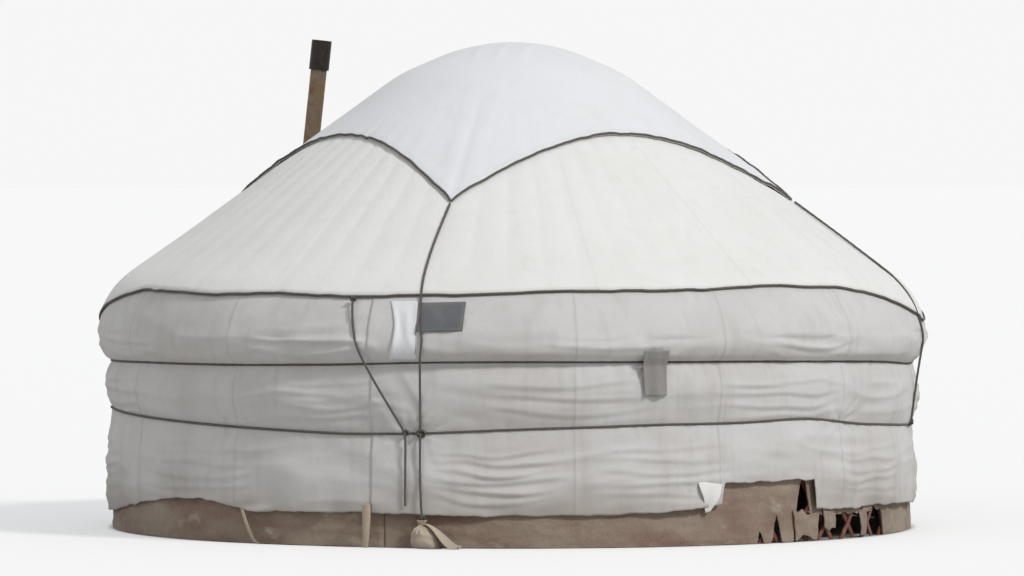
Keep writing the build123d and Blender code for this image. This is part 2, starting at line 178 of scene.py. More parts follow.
def roof_point(length, out=0.0):
    """Radius and height on the roof at lengths up from the eave, at distances outside it."""
    radius = np.interp(length, ROOF_LENGTH, ROOF_RADIUS)
    height = np.interp(length, ROOF_LENGTH, ROOF_HEIGHT)
    tilt = np.arctan2(height - EAVE_CENTRE[1], radius - EAVE_CENTRE[0])
    tilt = np.where(radius < SLOPE_FOOT, pi / 2 - SLOPE, tilt)
    return radius + out * np.cos(tilt), height + out * np.sin(tilt)


def roof_length_at(height):
    """Length up the roof from the eave to heights."""
    return np.interp(height, ROOF_HEIGHT, ROOF_LENGTH)


def deselect():
    """Clears the selection, which holds the frame's nodes after loading."""
    bpy.ops.object.select_all(action="DESELECT")


def make_active(piece):
    """Selects one piece alone."""
    deselect()
    piece.select_set(True)
    bpy.context.view_layer.objects.active = piece


def apply_modifier(piece, kind, **settings):
    """Adds a modifier to a piece and applies it."""
    make_active(piece)
    modifier = piece.modifiers.new(kind.title(), kind)
    for name, value in settings.items():
        setattr(modifier, name, value)
    bpy.ops.object.modifier_apply(modifier=modifier.name)


def settle(piece):
    """Moves a piece's place, turn and size into its mesh and smooths its shading."""
    make_active(piece)
    bpy.ops.object.transform_apply(location=True, rotation=True, scale=True)
    bpy.ops.object.shade_smooth_by_angle(angle=radians(40))


def dress(piece, material, slot, *nodes):
    """Gives a piece its material and body, and hides the nodes that it stands for; its slot is not
    used.
    """
    piece.data.materials.clear()
    piece.data.materials.append(material)
    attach(piece, "root")
    if nodes:
        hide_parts(*nodes)


def mesh_piece(name, points, faces, texture_places=None):
    """Smooth mesh object from points and faces, with a map from the points' places."""
    mesh = bpy.data.meshes.new(name)
    mesh.from_pydata([tuple(point) for point in points], [], [tuple(face) for face in faces])
    mesh.polygons.foreach_set("use_smooth", [True] * len(mesh.polygons))
    if texture_places is not None:
        layer = mesh.uv_layers.new(name="cloth")
        corners = np.empty(len(mesh.loops), int)
        mesh.loops.foreach_get("vertex_index", corners)
        layer.data.foreach_set("uv", np.asarray(texture_places, float)[corners].ravel())
    piece = bpy.data.objects.new(name, mesh)
    bpy.context.collection.objects.link(piece)
    return piece


def grid_faces(rows, columns, closed=False):
    """Quads of a grid whose points run along rows, joined round if closed."""
    last = columns if closed else columns - 1
    near = np.arange(last)
    faces = []
    for row in range(rows - 1):
        low = row * columns
        high = low + columns
        after = (near + 1) % columns
        faces.append(np.stack([low + near, low + after, high + after, high + near], axis=1))
    return np.concatenate(faces)


def cloth(name, points, places, thickness, seam=None):
    """Sheet of cloth with a thickness, from a grid of points and of places on the flat cut."""
    rows, columns = points.shape[:2]
    piece = mesh_piece(
        name, points.reshape(-1, 3), grid_faces(rows, columns), places.reshape(-1, 2),
    )
    if seam is not None:
        layer = piece.data.attributes.new("seam", "FLOAT", "POINT")
        layer.data.foreach_set("value", np.asarray(seam, float).ravel())
    apply_modifier(piece, "SOLIDIFY", thickness=thickness, offset=-1)
    return piece


def even_path(points, step):
    """Points along a path at an even step."""
    points = np.asarray(points, float)
    lengths = np.concatenate([[0], np.cumsum(np.linalg.norm(np.diff(points, axis=0), axis=1))])
    count = max(2, int(ceil(lengths[-1] / step)) + 1)
    along = np.linspace(0, lengths[-1], count)
    axes = [np.interp(along, lengths, points[:, axis]) for axis in range(3)]
    return np.stack(axes, axis=1), along


def rounded_path(points, share=0.25, rounds=3):
    """A path with its corners cut to curves."""
    points = np.asarray(points, float)
    for _ in range(rounds):
        first = points[:-1] * (1 - share) + points[1:] * share
        second = points[:-1] * share + points[1:] * (1 - share)
        middle = np.empty((2 * len(first), 3))
        middle[0::2] = first
        middle[1::2] = second
        points = np.concatenate([points[:1], middle[1:-1], points[-1:]])
    return points


def rope(name, points, radius, step=None, sides=12, lay=7.0):
    """Three-strand rope along a path, with the strands' ridges twisted round it."""
    strand_depth = 0.13
    path, along = even_path(points, step or radius * 1.3)
    ahead = np.gradient(path, axis=0)
    ahead /= np.linalg.norm(ahead, axis=1)[:, None]
    side = np.empty_like(path)
    start = np.cross(ahead[0], (0.3, 0.2, 1.0))
    side[0] = start / np.linalg.norm(start)
    for index in range(1, len(path)):
        carried = side[index - 1] - ahead[index] * np.dot(side[index - 1], ahead[index])
        side[index] = carried / np.linalg.norm(carried)
    up = np.cross(ahead, side)
    turn = np.arange(sides) * 2 * pi / sides
    twist = along[:, None] / (radius * lay) * 2 * pi / 3
    ridges = np.abs(np.cos(1.5 * (turn[None, :] + twist)))
    swell = radius * (1 - strand_depth + strand_depth * ridges)
    ring = (
        path[:, None, :]
        + side[:, None, :] * (np.cos(turn)[None, :, None] * swell[..., None])
        + up[:, None, :] * (np.sin(turn)[None, :, None] * swell[..., None])
    )
    count = len(path)
    faces = grid_faces(count, sides, closed=True).tolist()
    faces.append(list(range(sides))[::-1])
    faces.append([(count - 1) * sides + corner for corner in range(sides)])
    places = gathered(turn[None, :] * radius, along[:, None])
    return mesh_piece(name, ring.reshape(-1, 3), faces, places.reshape(-1, 2))


# Finishes

def new_group(name, inputs, outputs):
    """Shader node group with named sockets, and its input and output nodes."""
    group = bpy.data.node_groups.new(name, "ShaderNodeTree")
    for label, kind, value in inputs:
        socket = group.interface.new_socket(name=label, in_out="INPUT", socket_type=kind)
        if value is not None:
            socket.default_value = value
    for label, kind in outputs:
        group.interface.new_socket(name=label, in_out="OUTPUT", socket_type=kind)
    return group, group.nodes.new("NodeGroupInput"), group.nodes.new("NodeGroupOutput")


def add_node(tree, kind, values=None, **settings):
    """Node with its settings and its plain or linked input values."""
    node = tree.nodes.new(kind)
    for name, value in settings.items():
        setattr(node, name, value)
    for name, value in (values or {}).items():
        if isinstance(value, bpy.types.NodeSocket):
            tree.links.new(value, node.inputs[name])
        else:
            node.inputs[name].default_value = value
    return node


def stretched(tree, source, scale):
    """Coordinates stretched by a scale along each axis."""
    return add_node(tree, "ShaderNodeMapping", {"Vector": source, "Scale": scale}).outputs[0]


def noise_mask(tree, source, scale, low, high, detail=4.0, roughness=0.55):
    """Mask from 0 to 1 between two levels of a noise."""
    noise = add_node(tree, "ShaderNodeTexNoise", {
        "Vector": source, "Scale": scale, "Detail": detail, "Roughness": roughness,
    })
    return add_node(tree, "ShaderNodeMapRange", {
        "Value": noise.outputs["Fac"], "From Min": low, "From Max": high,
    }).outputs[0]


def mixed(tree, share, first, second, blend="MIX"):
    """Mix of two colours."""
    node = tree.nodes.new("ShaderNodeMix")
    node.data_type = "RGBA"
    node.blend_type = blend
    for index, value in ((0, share), (6, first), (7, second)):
        if isinstance(value, bpy.types.NodeSocket):
            tree.links.new(value, node.inputs[index])
        else:
            node.inputs[index].default_value = value
    return node.outputs[2]


def sum_of(tree, first, second, operation="ADD"):
    """Sum or other plain operation on two values."""
    return add_node(tree, "ShaderNodeMath", {0: first, 1: second}, operation=operation).outputs[0]


def weave_group():
    """Plain weave of a cloth, from its own map: threads over and under each other."""
    group, taken, given = new_group(
        "Plain Weave",
        [("Threads", "NodeSocketFloat", 420.0)],
        [("Height", "NodeSocketFloat"), ("Gap", "NodeSocketFloat")],
    )
    places = add_node(group, "ShaderNodeUVMap", uv_map="cloth").outputs[0]
    parts = add_node(group, "ShaderNodeSeparateXYZ", {0: places})
    heights = []
    for axis in range(2):
        across = sum_of(group, parts.outputs[axis], taken.outputs[0], "MULTIPLY")
        wave = add_node(group, "ShaderNodeMath", {0: sum_of(group, across, pi, "MULTIPLY")},
                        operation="SINE").outputs[0]
        size = add_node(group, "ShaderNodeMath", {0: wave}, operation="ABSOLUTE")
        heights.append(size.outputs[0])
    height = sum_of(group, heights[0], heights[1], "MULTIPLY")
    group.links.new(height, given.inputs["Height"])
    gap = sum_of(group, 1.0, height, "SUBTRACT")
    group.links.new(gap, given.inputs["Gap"])
    return group


def weather_group():
    """Dust and stains of an outdoor cloth: a dirty foot, rain streaks and soft blotches."""
    group, taken, given = new_group(
        "Weathered Cloth",
        [
            ("Color", "NodeSocketColor", (0.8, 0.8, 0.78, 1)),
            ("Dirt", "NodeSocketColor", (0.3, 0.24, 0.18, 1)),
            ("Foot", "NodeSocketFloat", 0.5),
            ("Streaks", "NodeSocketFloat", 0.15),
            ("Blotches", "NodeSocketFloat", 0.1),
        ],
        [("Color", "NodeSocketColor"), ("Height", "NodeSocketFloat")],
    )
    place = add_node(group, "ShaderNodeTexCoord").outputs["Object"]
    height = add_node(group, "ShaderNodeSeparateXYZ", {0: place}).outputs[2]
    wander = add_node(group, "ShaderNodeTexNoise", {
        "Vector": place, "Scale": 1.7, "Detail": 5.0,
    }).outputs["Fac"]
    level = sum_of(group, height, sum_of(group, wander, 0.55, "MULTIPLY"), "SUBTRACT")
    foot = add_node(group, "ShaderNodeMapRange", {
        "Value": level, "From Min": sum_of(group, taken.outputs["Foot"], -0.3),
        "From Max": sum_of(group, taken.outputs["Foot"], -0.66), "To Min": 0.0, "To Max": 0.62,
    }).outputs[0]
    soiled = mixed(group, foot, taken.outputs["Color"], taken.outputs["Dirt"])
    streak = noise_mask(group, stretched(group, place, (9, 9, 0.8)), 1.0, 0.52, 0.78)
    streak = sum_of(group, streak, taken.outputs["Streaks"], "MULTIPLY")
    streaked = mixed(group, streak, soiled, taken.outputs["Dirt"])
    blotch = noise_mask(group, place, 0.9, 0.45, 0.7, 6.0, 0.6)
    blotch = sum_of(group, blotch, taken.outputs["Blotches"], "MULTIPLY")
    blotched = mixed(group, blotch, streaked, taken.outputs["Dirt"])
    speck = noise_mask(group, place, 55.0, 0.66, 0.74, 2.0)
    speck = sum_of(group, speck, 0.12, "MULTIPLY")
    group.links.new(mixed(group, speck, blotched, taken.outputs["Dirt"]), given.inputs["Color"])
    soft = noise_mask(group, place, 26.0, 0.3, 0.7, 5.0, 0.65)
    group.links.new(soft, given.inputs["Height"])
    return group


def wood_group():
    """Worn paint over wood, with the grain along the height and bare rubbed places."""
    group, taken, given = new_group(
        "Painted Wood",
        [
            ("Paint", "NodeSocketColor", (0.35, 0.1, 0.06, 1)),
            ("Bare", "NodeSocketColor", (0.42, 0.28, 0.17, 1)),
            ("Wear", "NodeSocketFloat", 0.5),
        ],
        [
            ("Color", "NodeSocketColor"), ("Roughness", "NodeSocketFloat"),
            ("Height", "NodeSocketFloat"),
        ],
    )
    place = add_node(group, "ShaderNodeTexCoord").outputs["Object"]
    grain = add_node(group, "ShaderNodeTexNoise", {
        "Vector": stretched(group, place, (70, 70, 7)), "Scale": 1.0, "Detail": 7.0,
        "Roughness": 0.7, "Distortion": 0.6,
    }).outputs["Fac"]
    rubbed = noise_mask(group, stretched(group, place, (9, 9, 5)), 1.0, 0.56, 0.66, 6.0, 0.7)
    rubbed = sum_of(group, rubbed, taken.outputs["Wear"], "MULTIPLY")
    dull = mixed(group, grain, (0.55, 0.5, 0.46, 1), (1.25, 1.2, 1.15, 1))
    paint = mixed(group, 1.0, taken.outputs["Paint"], dull, "MULTIPLY")
    bare = mixed(group, 1.0, taken.outputs["Bare"], dull, "MULTIPLY")
    group.links.new(mixed(group, rubbed, paint, bare), given.inputs["Color"])
    rough = add_node(group, "ShaderNodeMapRange", {"Value": rubbed, "To Min": 0.48, "To Max": 0.85})
    group.links.new(rough.outputs[0], given.inputs["Roughness"])
    group.links.new(sum_of(group, grain, rubbed, "SUBTRACT"), given.inputs["Height"])
    return group


def rust_group():
    """Sheet steel with rust bloom, rain runs and a mottled tone."""
    group, taken, given = new_group(
        "Sooty Steel",
        [
            ("Steel", "NodeSocketColor", (0.3, 0.27, 0.22, 1)),
            ("Rust", "NodeSocketColor", (0.25, 0.1, 0.04, 1)),
            ("Amount", "NodeSocketFloat", 0.7),
        ],
        [
            ("Color", "NodeSocketColor"), ("Roughness", "NodeSocketFloat"),
            ("Metallic", "NodeSocketFloat"), ("Height", "NodeSocketFloat"),
        ],
    )
    place = add_node(group, "ShaderNodeTexCoord").outputs["Object"]
    bloom = noise_mask(group, place, 14.0, 0.42, 0.6, 8.0, 0.7)
    runs = noise_mask(group, stretched(group, place, (40, 40, 2.5)), 1.0, 0.5, 0.75)
    rust = sum_of(group, sum_of(group, bloom, runs, "MAXIMUM"), taken.outputs["Amount"], "MULTIPLY")
    coarse = noise_mask(group, place, 60.0, 0.35, 0.65, 4.0)
    tone = mixed(group, coarse, (0.75, 0.72, 0.7, 1), (1.15, 1.1, 1.05, 1))
    rusty = mixed(group, 1.0, taken.outputs["Rust"], tone, "MULTIPLY")
    group.links.new(mixed(group, rust, taken.outputs["Steel"], rusty), given.inputs["Color"])
    rough = add_node(group, "ShaderNodeMapRange", {"Value": rust, "To Min": 0.45, "To Max": 0.9})
    group.links.new(rough.outputs[0], given.inputs["Roughness"])
    shine = add_node(group, "ShaderNodeMapRange", {"Value": rust, "To Min": 0.8, "To Max": 0.0})
    group.links.new(shine.outputs[0], given.inputs["Metallic"])
    group.links.new(sum_of(group, rust, coarse, "ADD"), given.inputs["Height"])
    return group


def shared_group(name, make):
    """A node group by its name, made the first time it is asked for."""
    return bpy.data.node_groups.get(name) or make()


def new_material(name):
    """Empty material with its Principled shader."""
    material = bpy.data.materials.new(name)
    material.use_nodes = True
    return material, material.node_tree, material.node_tree.nodes["Principled BSDF"]


def use_group(tree, group, **values):
    """Places a node group with values for its named inputs."""
    node = tree.nodes.new("ShaderNodeGroup")
    node.node_tree = group
    for name, value in values.items():
        node.inputs[name].default_value = value
    return node


def bump(tree, shader, height, strength, distance):
    """Bump from a height, laid on the shader's normal."""
    node = add_node(tree, "ShaderNodeBump", {
        "Height": height, "Strength": strength, "Distance": distance,
    })
    tree.links.new(node.outputs[0], shader.inputs["Normal"])


def rgba(colour):
    """Colour with full alpha."""
    return (*tuple(colour)[:3], 1)


def cloth_material(name, colour, dirt, foot, streaks, blotches, threads=420.0, roughness=0.9):
    """Weathered woven cloth, painted shade in the gaps between its threads, and stitched seams
    where the cloth marks them.
    """
    material = bpy.data.materials.get(name)
    if material:
        return material
    material, tree, shader = new_material(name)
    weather = use_group(
        tree, shared_group("Weathered Cloth", weather_group), Color=rgba(colour), Dirt=rgba(dirt),
        Foot=foot, Streaks=streaks, Blotches=blotches,
    )
    weave = use_group(tree, shared_group("Plain Weave", weave_group), Threads=threads)
    seam = add_node(tree, "ShaderNodeAttribute", attribute_name="seam").outputs["Fac"]
    # Painted shade: the colour is darkened a little towards dark brown in the weave's gaps, where
    # the threads dip.
    gap_shaded = mixed(tree, sum_of(tree, weave.outputs["Gap"], 0.1, "MULTIPLY"),
                   weather.outputs["Color"], (0.2, 0.17, 0.13, 1))
    shaded = mixed(tree, sum_of(tree, seam, 0.24, "MULTIPLY"), gap_shaded, (0.3, 0.27, 0.23, 1))
    tree.links.new(shaded, shader.inputs["Base Color"])
    shader.inputs["Roughness"].default_value = roughness
    shader.inputs["Sheen Weight"].default_value = 0.08
    fine = sum_of(tree, weave.outputs["Height"], 0.25, "MULTIPLY")
    height = sum_of(tree, fine, weather.outputs["Height"], "ADD")
    bump(tree, shader, height, 0.5, 0.002)
    return material


def felt_material(name, colour, dirt, foot):
    """Matted wool felt with lumps, loose hairs and a dirty foot."""
    material = bpy.data.materials.get(name)
    if material:
        return material
    material, tree, shader = new_material(name)
    weather = use_group(
        tree, shared_group("Weathered Cloth", weather_group), Color=rgba(colour), Dirt=rgba(dirt),
        Foot=foot, Streaks=0.2, Blotches=0.45,
    )
    place = add_node(tree, "ShaderNodeTexCoord").outputs["Object"]
    hairs = add_node(tree, "ShaderNodeTexNoise", {
        "Vector": place, "Scale": 95.0, "Detail": 8.0, "Roughness": 0.75, "Distortion": 2.0,
    }).outputs["Fac"]
    lumps = noise_mask(tree, place, 18.0, 0.35, 0.7, 5.0)
    tone = mixed(tree, hairs, (0.6, 0.56, 0.52, 1), (1.2, 1.18, 1.15, 1))
    patches = noise_mask(tree, stretched(tree, place, (1, 1, 2.2)), 1.6, 0.42, 0.62, 5.0, 0.6)
    reddish = mixed(tree, patches, weather.outputs["Color"], (0.25, 0.165, 0.125, 1))
    pale = noise_mask(tree, stretched(tree, place, (1, 1, 1.6)), 3.1, 0.6, 0.74, 6.0, 0.65)
    pale = sum_of(tree, pale, 0.7, "MULTIPLY")
    patched = mixed(tree, pale, reddish, (0.56, 0.5, 0.43, 1))
    colour_out = mixed(tree, 1.0, patched, tone, "MULTIPLY")
    tree.links.new(colour_out, shader.inputs["Base Color"])
    shader.inputs["Roughness"].default_value = 0.97
    shader.inputs["Sheen Weight"].default_value = 0.2
    bump(tree, shader, sum_of(tree, lumps, hairs, "ADD"), 0.8, 0.006)
    return material


def rope_material(name, colour, pale):
    """Twisted hair rope with loose fibres along the strands."""
    material = bpy.data.materials.get(name)
    if material:
        return material
    material, tree, shader = new_material(name)
    places = add_node(tree, "ShaderNodeUVMap", uv_map="cloth").outputs[0]
    fibres = add_node(tree, "ShaderNodeTexNoise", {
        "Vector": stretched(tree, places, (900, 160, 1)), "Scale": 1.0, "Detail": 5.0,
        "Roughness": 0.7,
    }).outputs["Fac"]
    worn = noise_mask(tree, stretched(tree, places, (20, 3, 1)), 1.0, 0.45, 0.7)
    share = sum_of(tree, fibres, sum_of(tree, worn, 0.5, "MULTIPLY"), "MULTIPLY")
    tree.links.new(mixed(tree, share, rgba(colour), rgba(pale)), shader.inputs["Base Color"])
    shader.inputs["Roughness"].default_value = 0.95
    bump(tree, shader, fibres, 0.7, 0.0015)
    return material


def wood_material(name, paint, bare, wear):
    """Painted and worn wood."""
    material, tree, shader = new_material(name)
    wood = use_group(tree, shared_group("Painted Wood", wood_group), Paint=rgba(paint),
                     Bare=rgba(bare), Wear=wear)
    tree.links.new(wood.outputs["Color"], shader.inputs["Base Color"])
    tree.links.new(wood.outputs["Roughness"], shader.inputs["Roughness"])
    bump(tree, shader, wood.outputs["Height"], 0.45, 0.0012)
    return material


def steel_material(name, steel, rust, amount):
    """Rusted sheet steel."""
    material, tree, shader = new_material(name)
    metal = use_group(tree, shared_group("Sooty Steel", rust_group), Steel=rgba(steel),
                      Rust=rgba(rust), Amount=amount)
    for output in ("Color", "Roughness", "Metallic"):
        target = "Base Color" if output == "Color" else output
        tree.links.new(metal.outputs[output], shader.inputs[target])
    bump(tree, shader, metal.outputs["Height"], 0.5, 0.001)
    return material


def seen_mask(tree):
    """Mask of what the camera sees straight, in a mirror or through glass."""
    path = tree.nodes.new("ShaderNodeLightPath")
    seen = sum_of(tree, path.outputs["Is Camera Ray"], path.outputs["Is Glossy Ray"], "MAXIMUM")
    return sum_of(tree, seen, path.outputs["Is Transmission Ray"], "MAXIMUM")


def plain_stage_material(name, colour):
    """Matt studio floor that looks white to the camera, but not inside the tent."""
    material, tree, shader = new_material(name)
    place = add_node(tree, "ShaderNodeTexCoord").outputs["Object"]
    tone = noise_mask(tree, place, 0.6, 0.3, 0.7)
    pale = mixed(tree, sum_of(tree, tone, 0.03, "MULTIPLY"), rgba(colour), (0.4, 0.38, 0.36, 1))
    tree.links.new(pale, shader.inputs["Base Color"])
    reach = add_node(tree, "ShaderNodeVectorMath", {0: place}, operation="LENGTH").outputs["Value"]
    outside = add_node(tree, "ShaderNodeMapRange", {
        "Value": reach, "From Min": FELT_RADIUS, "From Max": CANVAS_RADIUS,
    }).outputs[0]
    seen = sum_of(tree, seen_mask(tree), outside, "MULTIPLY")
    glow = mixed(tree, seen, (0, 0, 0, 1), (0.44, 0.45, 0.46, 1))
    tree.links.new(glow, shader.inputs["Emission Color"])
    shader.inputs["Emission Strength"].default_value = 1
    shader.inputs["Roughness"].default_value = 0.95
    return material


def repaint(material, *starts):
    """Puts a material on the frame's nodes whose names start with given words."""
    for name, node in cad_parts.items():
        if name.startswith(starts):
            for slot in node.material_slots:
                slot.material = material


# Sizes and colours

class TentSizes(bpy.types.PropertyGroup):
    """Sizes of the cloth, the ropes and the small pieces."""

    canvas_thickness: FloatProperty(
        name="Canvas", description="Thickness of the canvas", default=0.003, min=0.001,
        subtype="DISTANCE", unit="LENGTH")
    felt_thickness: FloatProperty(
        name="Felt", description="Thickness of the felt", default=0.011, min=0.003,
        subtype="DISTANCE", unit="LENGTH")
    fold_depth: FloatProperty(
        name="Folds", description="Depth of the folds in the wall canvas", default=0.018, min=0.0,
        subtype="DISTANCE", unit="LENGTH")
    pleat_depth: FloatProperty(
        name="Pleats", description="Depth of the pleats beside the ropes", default=0.007, min=0.0,
        subtype="DISTANCE", unit="LENGTH")
    pole_ridge: FloatProperty(
        name="Pole ridges", description="How far the roof canvas sinks between two poles",
        default=0.006, min=0.0, subtype="DISTANCE", unit="LENGTH")
    waist_rope_radius: FloatProperty(
        name="Waist rope", description="Radius of the ropes round the wall", default=0.009,
        min=0.002, subtype="DISTANCE", unit="LENGTH")
    crown_rope_radius: FloatProperty(
        name="Crown rope", description="Radius of the ropes from the crown cover", default=0.0085,
        min=0.002, subtype="DISTANCE", unit="LENGTH")
    cord_radius: FloatProperty(
        name="Hem cord", description="Radius of the cord along the cloths' hems", default=0.009,
        min=0.002, subtype="DISTANCE", unit="LENGTH")
    columns_per_degree: FloatProperty(
        name="Fineness", description="Columns of the cloth meshes for each degree round the tent",
        default=2.5, min=0.5)
    rope_turns: IntProperty(
        name="Knot turns", description="Turns of rope in a knot", default=3, min=1)


class TentColours(bpy.types.PropertyGroup):
    """Colours of the finishes."""

    roof_canvas: FloatVectorProperty(
        name="Roof canvas", description="Colour of the roof canvas", subtype="COLOR",
        default=(0.84, 0.83, 0.8), min=0, max=1)
    wall_canvas: FloatVectorProperty(
        name="Wall canvas", description="Colour of the wall canvas", subtype="COLOR",
        default=(0.66, 0.645, 0.63), min=0, max=1)
    crown_cloth: FloatVectorProperty(
        name="Crown cover", description="Colour of the cloth over the crown", subtype="COLOR",
        default=(0.82, 0.83, 0.845), min=0, max=1)
    felt: FloatVectorProperty(
        name="Felt", description="Colour of clean felt", subtype="COLOR",
        default=(0.45, 0.385, 0.32), min=0, max=1)
    dust: FloatVectorProperty(
        name="Dust", description="Colour of dust and stains", subtype="COLOR",
        default=(0.3, 0.235, 0.175), min=0, max=1)
    rope: FloatVectorProperty(
        name="Rope", description="Colour of the hair rope", subtype="COLOR",
        default=(0.1, 0.088, 0.078), min=0, max=1)
    paint: FloatVectorProperty(
        name="Paint", description="Colour of the paint on the wood", subtype="COLOR",
        default=(0.15, 0.045, 0.028), min=0, max=1)
    floor: FloatVectorProperty(
        name="Floor", description="Colour of the studio floor", subtype="COLOR",
        default=(0.5, 0.485, 0.465), min=0, max=1)


def canvas_finish(kind):
    """Material of the roof, the wall, the crown or a small cloth."""
    colours = bpy.context.scene.tent_colours
    if kind == "roof":
        return cloth_material("Roof Canvas", colours.roof_canvas, colours.dust, -0.5, 0.07, 0.07)
    if kind == "wall":
        return cloth_material("Wall Canvas", colours.wall_canvas, colours.dust, 0.5, 0.2, 0.26)
    if kind == "crown":
        return cloth_material("Crown Cloth", colours.crown_cloth, colours.dust, -0.5, 0.05, 0.08)
    if kind == "curtain":
        return cloth_material("Curtain Cloth", (0.66, 0.63, 0.58), colours.dust, -0.5, 0.2, 0.25)
    if kind == "sack":
        return cloth_material("Sack Cloth", (0.6, 0.52, 0.4), colours.dust, 0.4, 0.3, 0.4, 260.0)
    if kind == "patch":
        return cloth_material("Patch Cloth", (0.105, 0.115, 0.13), (0.3, 0.28, 0.26), -0.5, 0.2,
                              0.2)
    if kind == "flap":
        return cloth_material("Flap Cloth", (0.3, 0.29, 0.28), colours.dust, -0.5, 0.2, 0.3)
    raise ValueError(kind)


def felt_finish():
    """Material of the felts."""
    colours = bpy.context.scene.tent_colours
    return felt_material("Wool Felt", colours.felt, colours.dust, 0.62)


def rope_finish():
    """Material of the ropes."""
    colours = bpy.context.scene.tent_colours
    return rope_material("Hair Rope", colours.rope, (0.3, 0.26, 0.21))


def lay_rope(name, points, radius, *nodes, **settings):
    """Rope along a path, with its finish and the nodes that it stands for."""
    dress(rope(name, points, radius, **settings), rope_finish(), "rope", *nodes)


# Wall canvas

def ease(share):
    """Smooth step from 0 to 1."""
    share = np.clip(share, 0, 1)
    return share * share * (3 - 2 * share)


def shoulder(upper, share):
    """Radius and height of the bulge over the upper rope, up to where the eave's round starts."""
    start = np.stack([np.full_like(upper, WALL_PINCH), upper + 0.004])
    first = np.stack([np.full_like(upper, 2.962), upper + 0.018])
    end = np.stack([
        np.full_like(upper, EAVE_CENTRE[0] + INNER_BEND * cos(SHOULDER_ANGLE)),
        np.full_like(upper, EAVE_CENTRE[1] + INNER_BEND * sin(SHOULDER_ANGLE)),
    ])
    second = end + np.array([[0.022], [-0.09]])
    left = 1 - share
    return (
        left ** 3 * start + 3 * left ** 2 * share * first + 3 * left * share ** 2 * second
        + share ** 3 * end
    )


# Bands of the wall canvas: below the ropes, between them, above them and under the roof canvas
FOOT, MIDDLE, BULGE, EAVE = range(4)


def wall_rows():
    """Rows of the wall canvas: each one's band and the share of the way up it."""
    rows = []
    for band, count in ((FOOT, 44), (MIDDLE, 34), (BULGE, 26), (EAVE, 20)):
        last = count + 1 if band == EAVE else count
        rows += [(band, step / count) for step in range(last)]
    return rows


def wall_height_and_radius(azimuth):
    """Grid of radii and heights of the wall canvas, and each point's distance to a rope."""
    lower = smooth_value(LOWER_ROPE, azimuth)
    upper = smooth_value(UPPER_ROPE, azimuth)
    around = np.radians(azimuth) * WALL_PINCH
    hem = table_value(WALL_HEM, azimuth)
    ragged = speckle(around, 0 * around, 0.11, 1, 5) * 0.008
    ragged += speckle(around, 0 * around, 0.035, 1, 6) * 0.003
    hem = hem + ragged
    crease, foot_swell, middle_swell = 0.004, 0.034, 0.05
    radii, heights, near = [], [], []
    for band, share in wall_rows():
        if band == FOOT:
            height = hem + (lower - crease - hem) * share
            radius = WALL_PINCH + foot_swell * np.sin(pi * (0.12 + 0.88 * share) ** 0.8)
            near.append(lower - height)
        elif band == MIDDLE:
            height = lower + crease + (upper - lower - 3 * crease) * share
            radius = WALL_PINCH + middle_swell * np.sin(pi * share ** 1.15) ** 0.8
            near.append(np.minimum(height - lower, upper - height))
        elif band == BULGE:
            radius, height = shoulder(upper, share)
            near.append(np.abs(height - upper) + 0.35 * share)
        else:
            arc = pi / 2 - SLOPE - SHOULDER_ANGLE
            length = INNER_BEND * arc + UNDER_ROOF
            angle = SHOULDER_ANGLE + np.minimum(share * length / INNER_BEND, arc)
            beyond = max(0.0, share * length - INNER_BEND * arc)
            radius = EAVE_CENTRE[0] + INNER_BEND * cos(angle) - beyond * cos(SLOPE) + 0 * upper
            height = EAVE_CENTRE[1] + INNER_BEND * sin(angle) + beyond * sin(SLOPE) + 0 * upper
            near.append(np.full_like(upper, 0.6))
        radii.append(radius + 0 * upper)
        heights.append(height + 0 * upper)
    return np.array(radii), np.array(heights), np.array(near)


# Places where ropes pull on the wall canvas: azimuth, height
TIES = ((-0.4, 0.785), (-2.5, 0.79), (-10, 1.6), (31, 1.27), (-90, 0.86), (90, 0.77), (64, 0.83))

# Sets of sagging folds: azimuth, half width in degrees, top height, droop, count, step, depth
SWAGS = (
    (10, 9, 0.68, 0.05, 6, 0.062, 0.013), (-38, 13, 0.66, 0.04, 5, 0.085, 0.009),
    (33, 10, 0.7, 0.03, 5, 0.08, 0.008), (-14, 9, 1.16, 0.05, 4, 0.075, 0.009),
    (52, 12, 1.15, 0.04, 4, 0.08, 0.009), (72, 10, 0.66, 0.04, 5, 0.07, 0.008),
    (-62, 13, 1.12, 0.04, 4, 0.08, 0.008), (20, 12, 1.15, 0.04, 3, 0.09, 0.008),
    (-72, 12, 0.68, 0.05, 5, 0.075, 0.009), (115, 14, 0.68, 0.05, 5, 0.08, 0.009),
    (140, 12, 1.14, 0.04, 4, 0.08, 0.009), (-120, 13, 0.68, 0.05, 5, 0.08, 0.009),
    (-142, 12, 1.14, 0.05, 4, 0.075, 0.009), (100, 12, 1.14, 0.04, 4, 0.08, 0.008),
    (-17, 10, 1.52, 0.05, 3, 0.075, 0.012), (56, 8, 1.5, 0.07, 3, 0.08, 0.011),
    (-55, 12, 1.5, 0.05, 3, 0.08, 0.009), (122, 12, 1.52, 0.05, 3, 0.08, 0.009),
    (-125, 12, 1.52, 0.05, 3, 0.08, 0.009), (25, 10, 1.5, 0.04, 2, 0.09, 0.007),
)


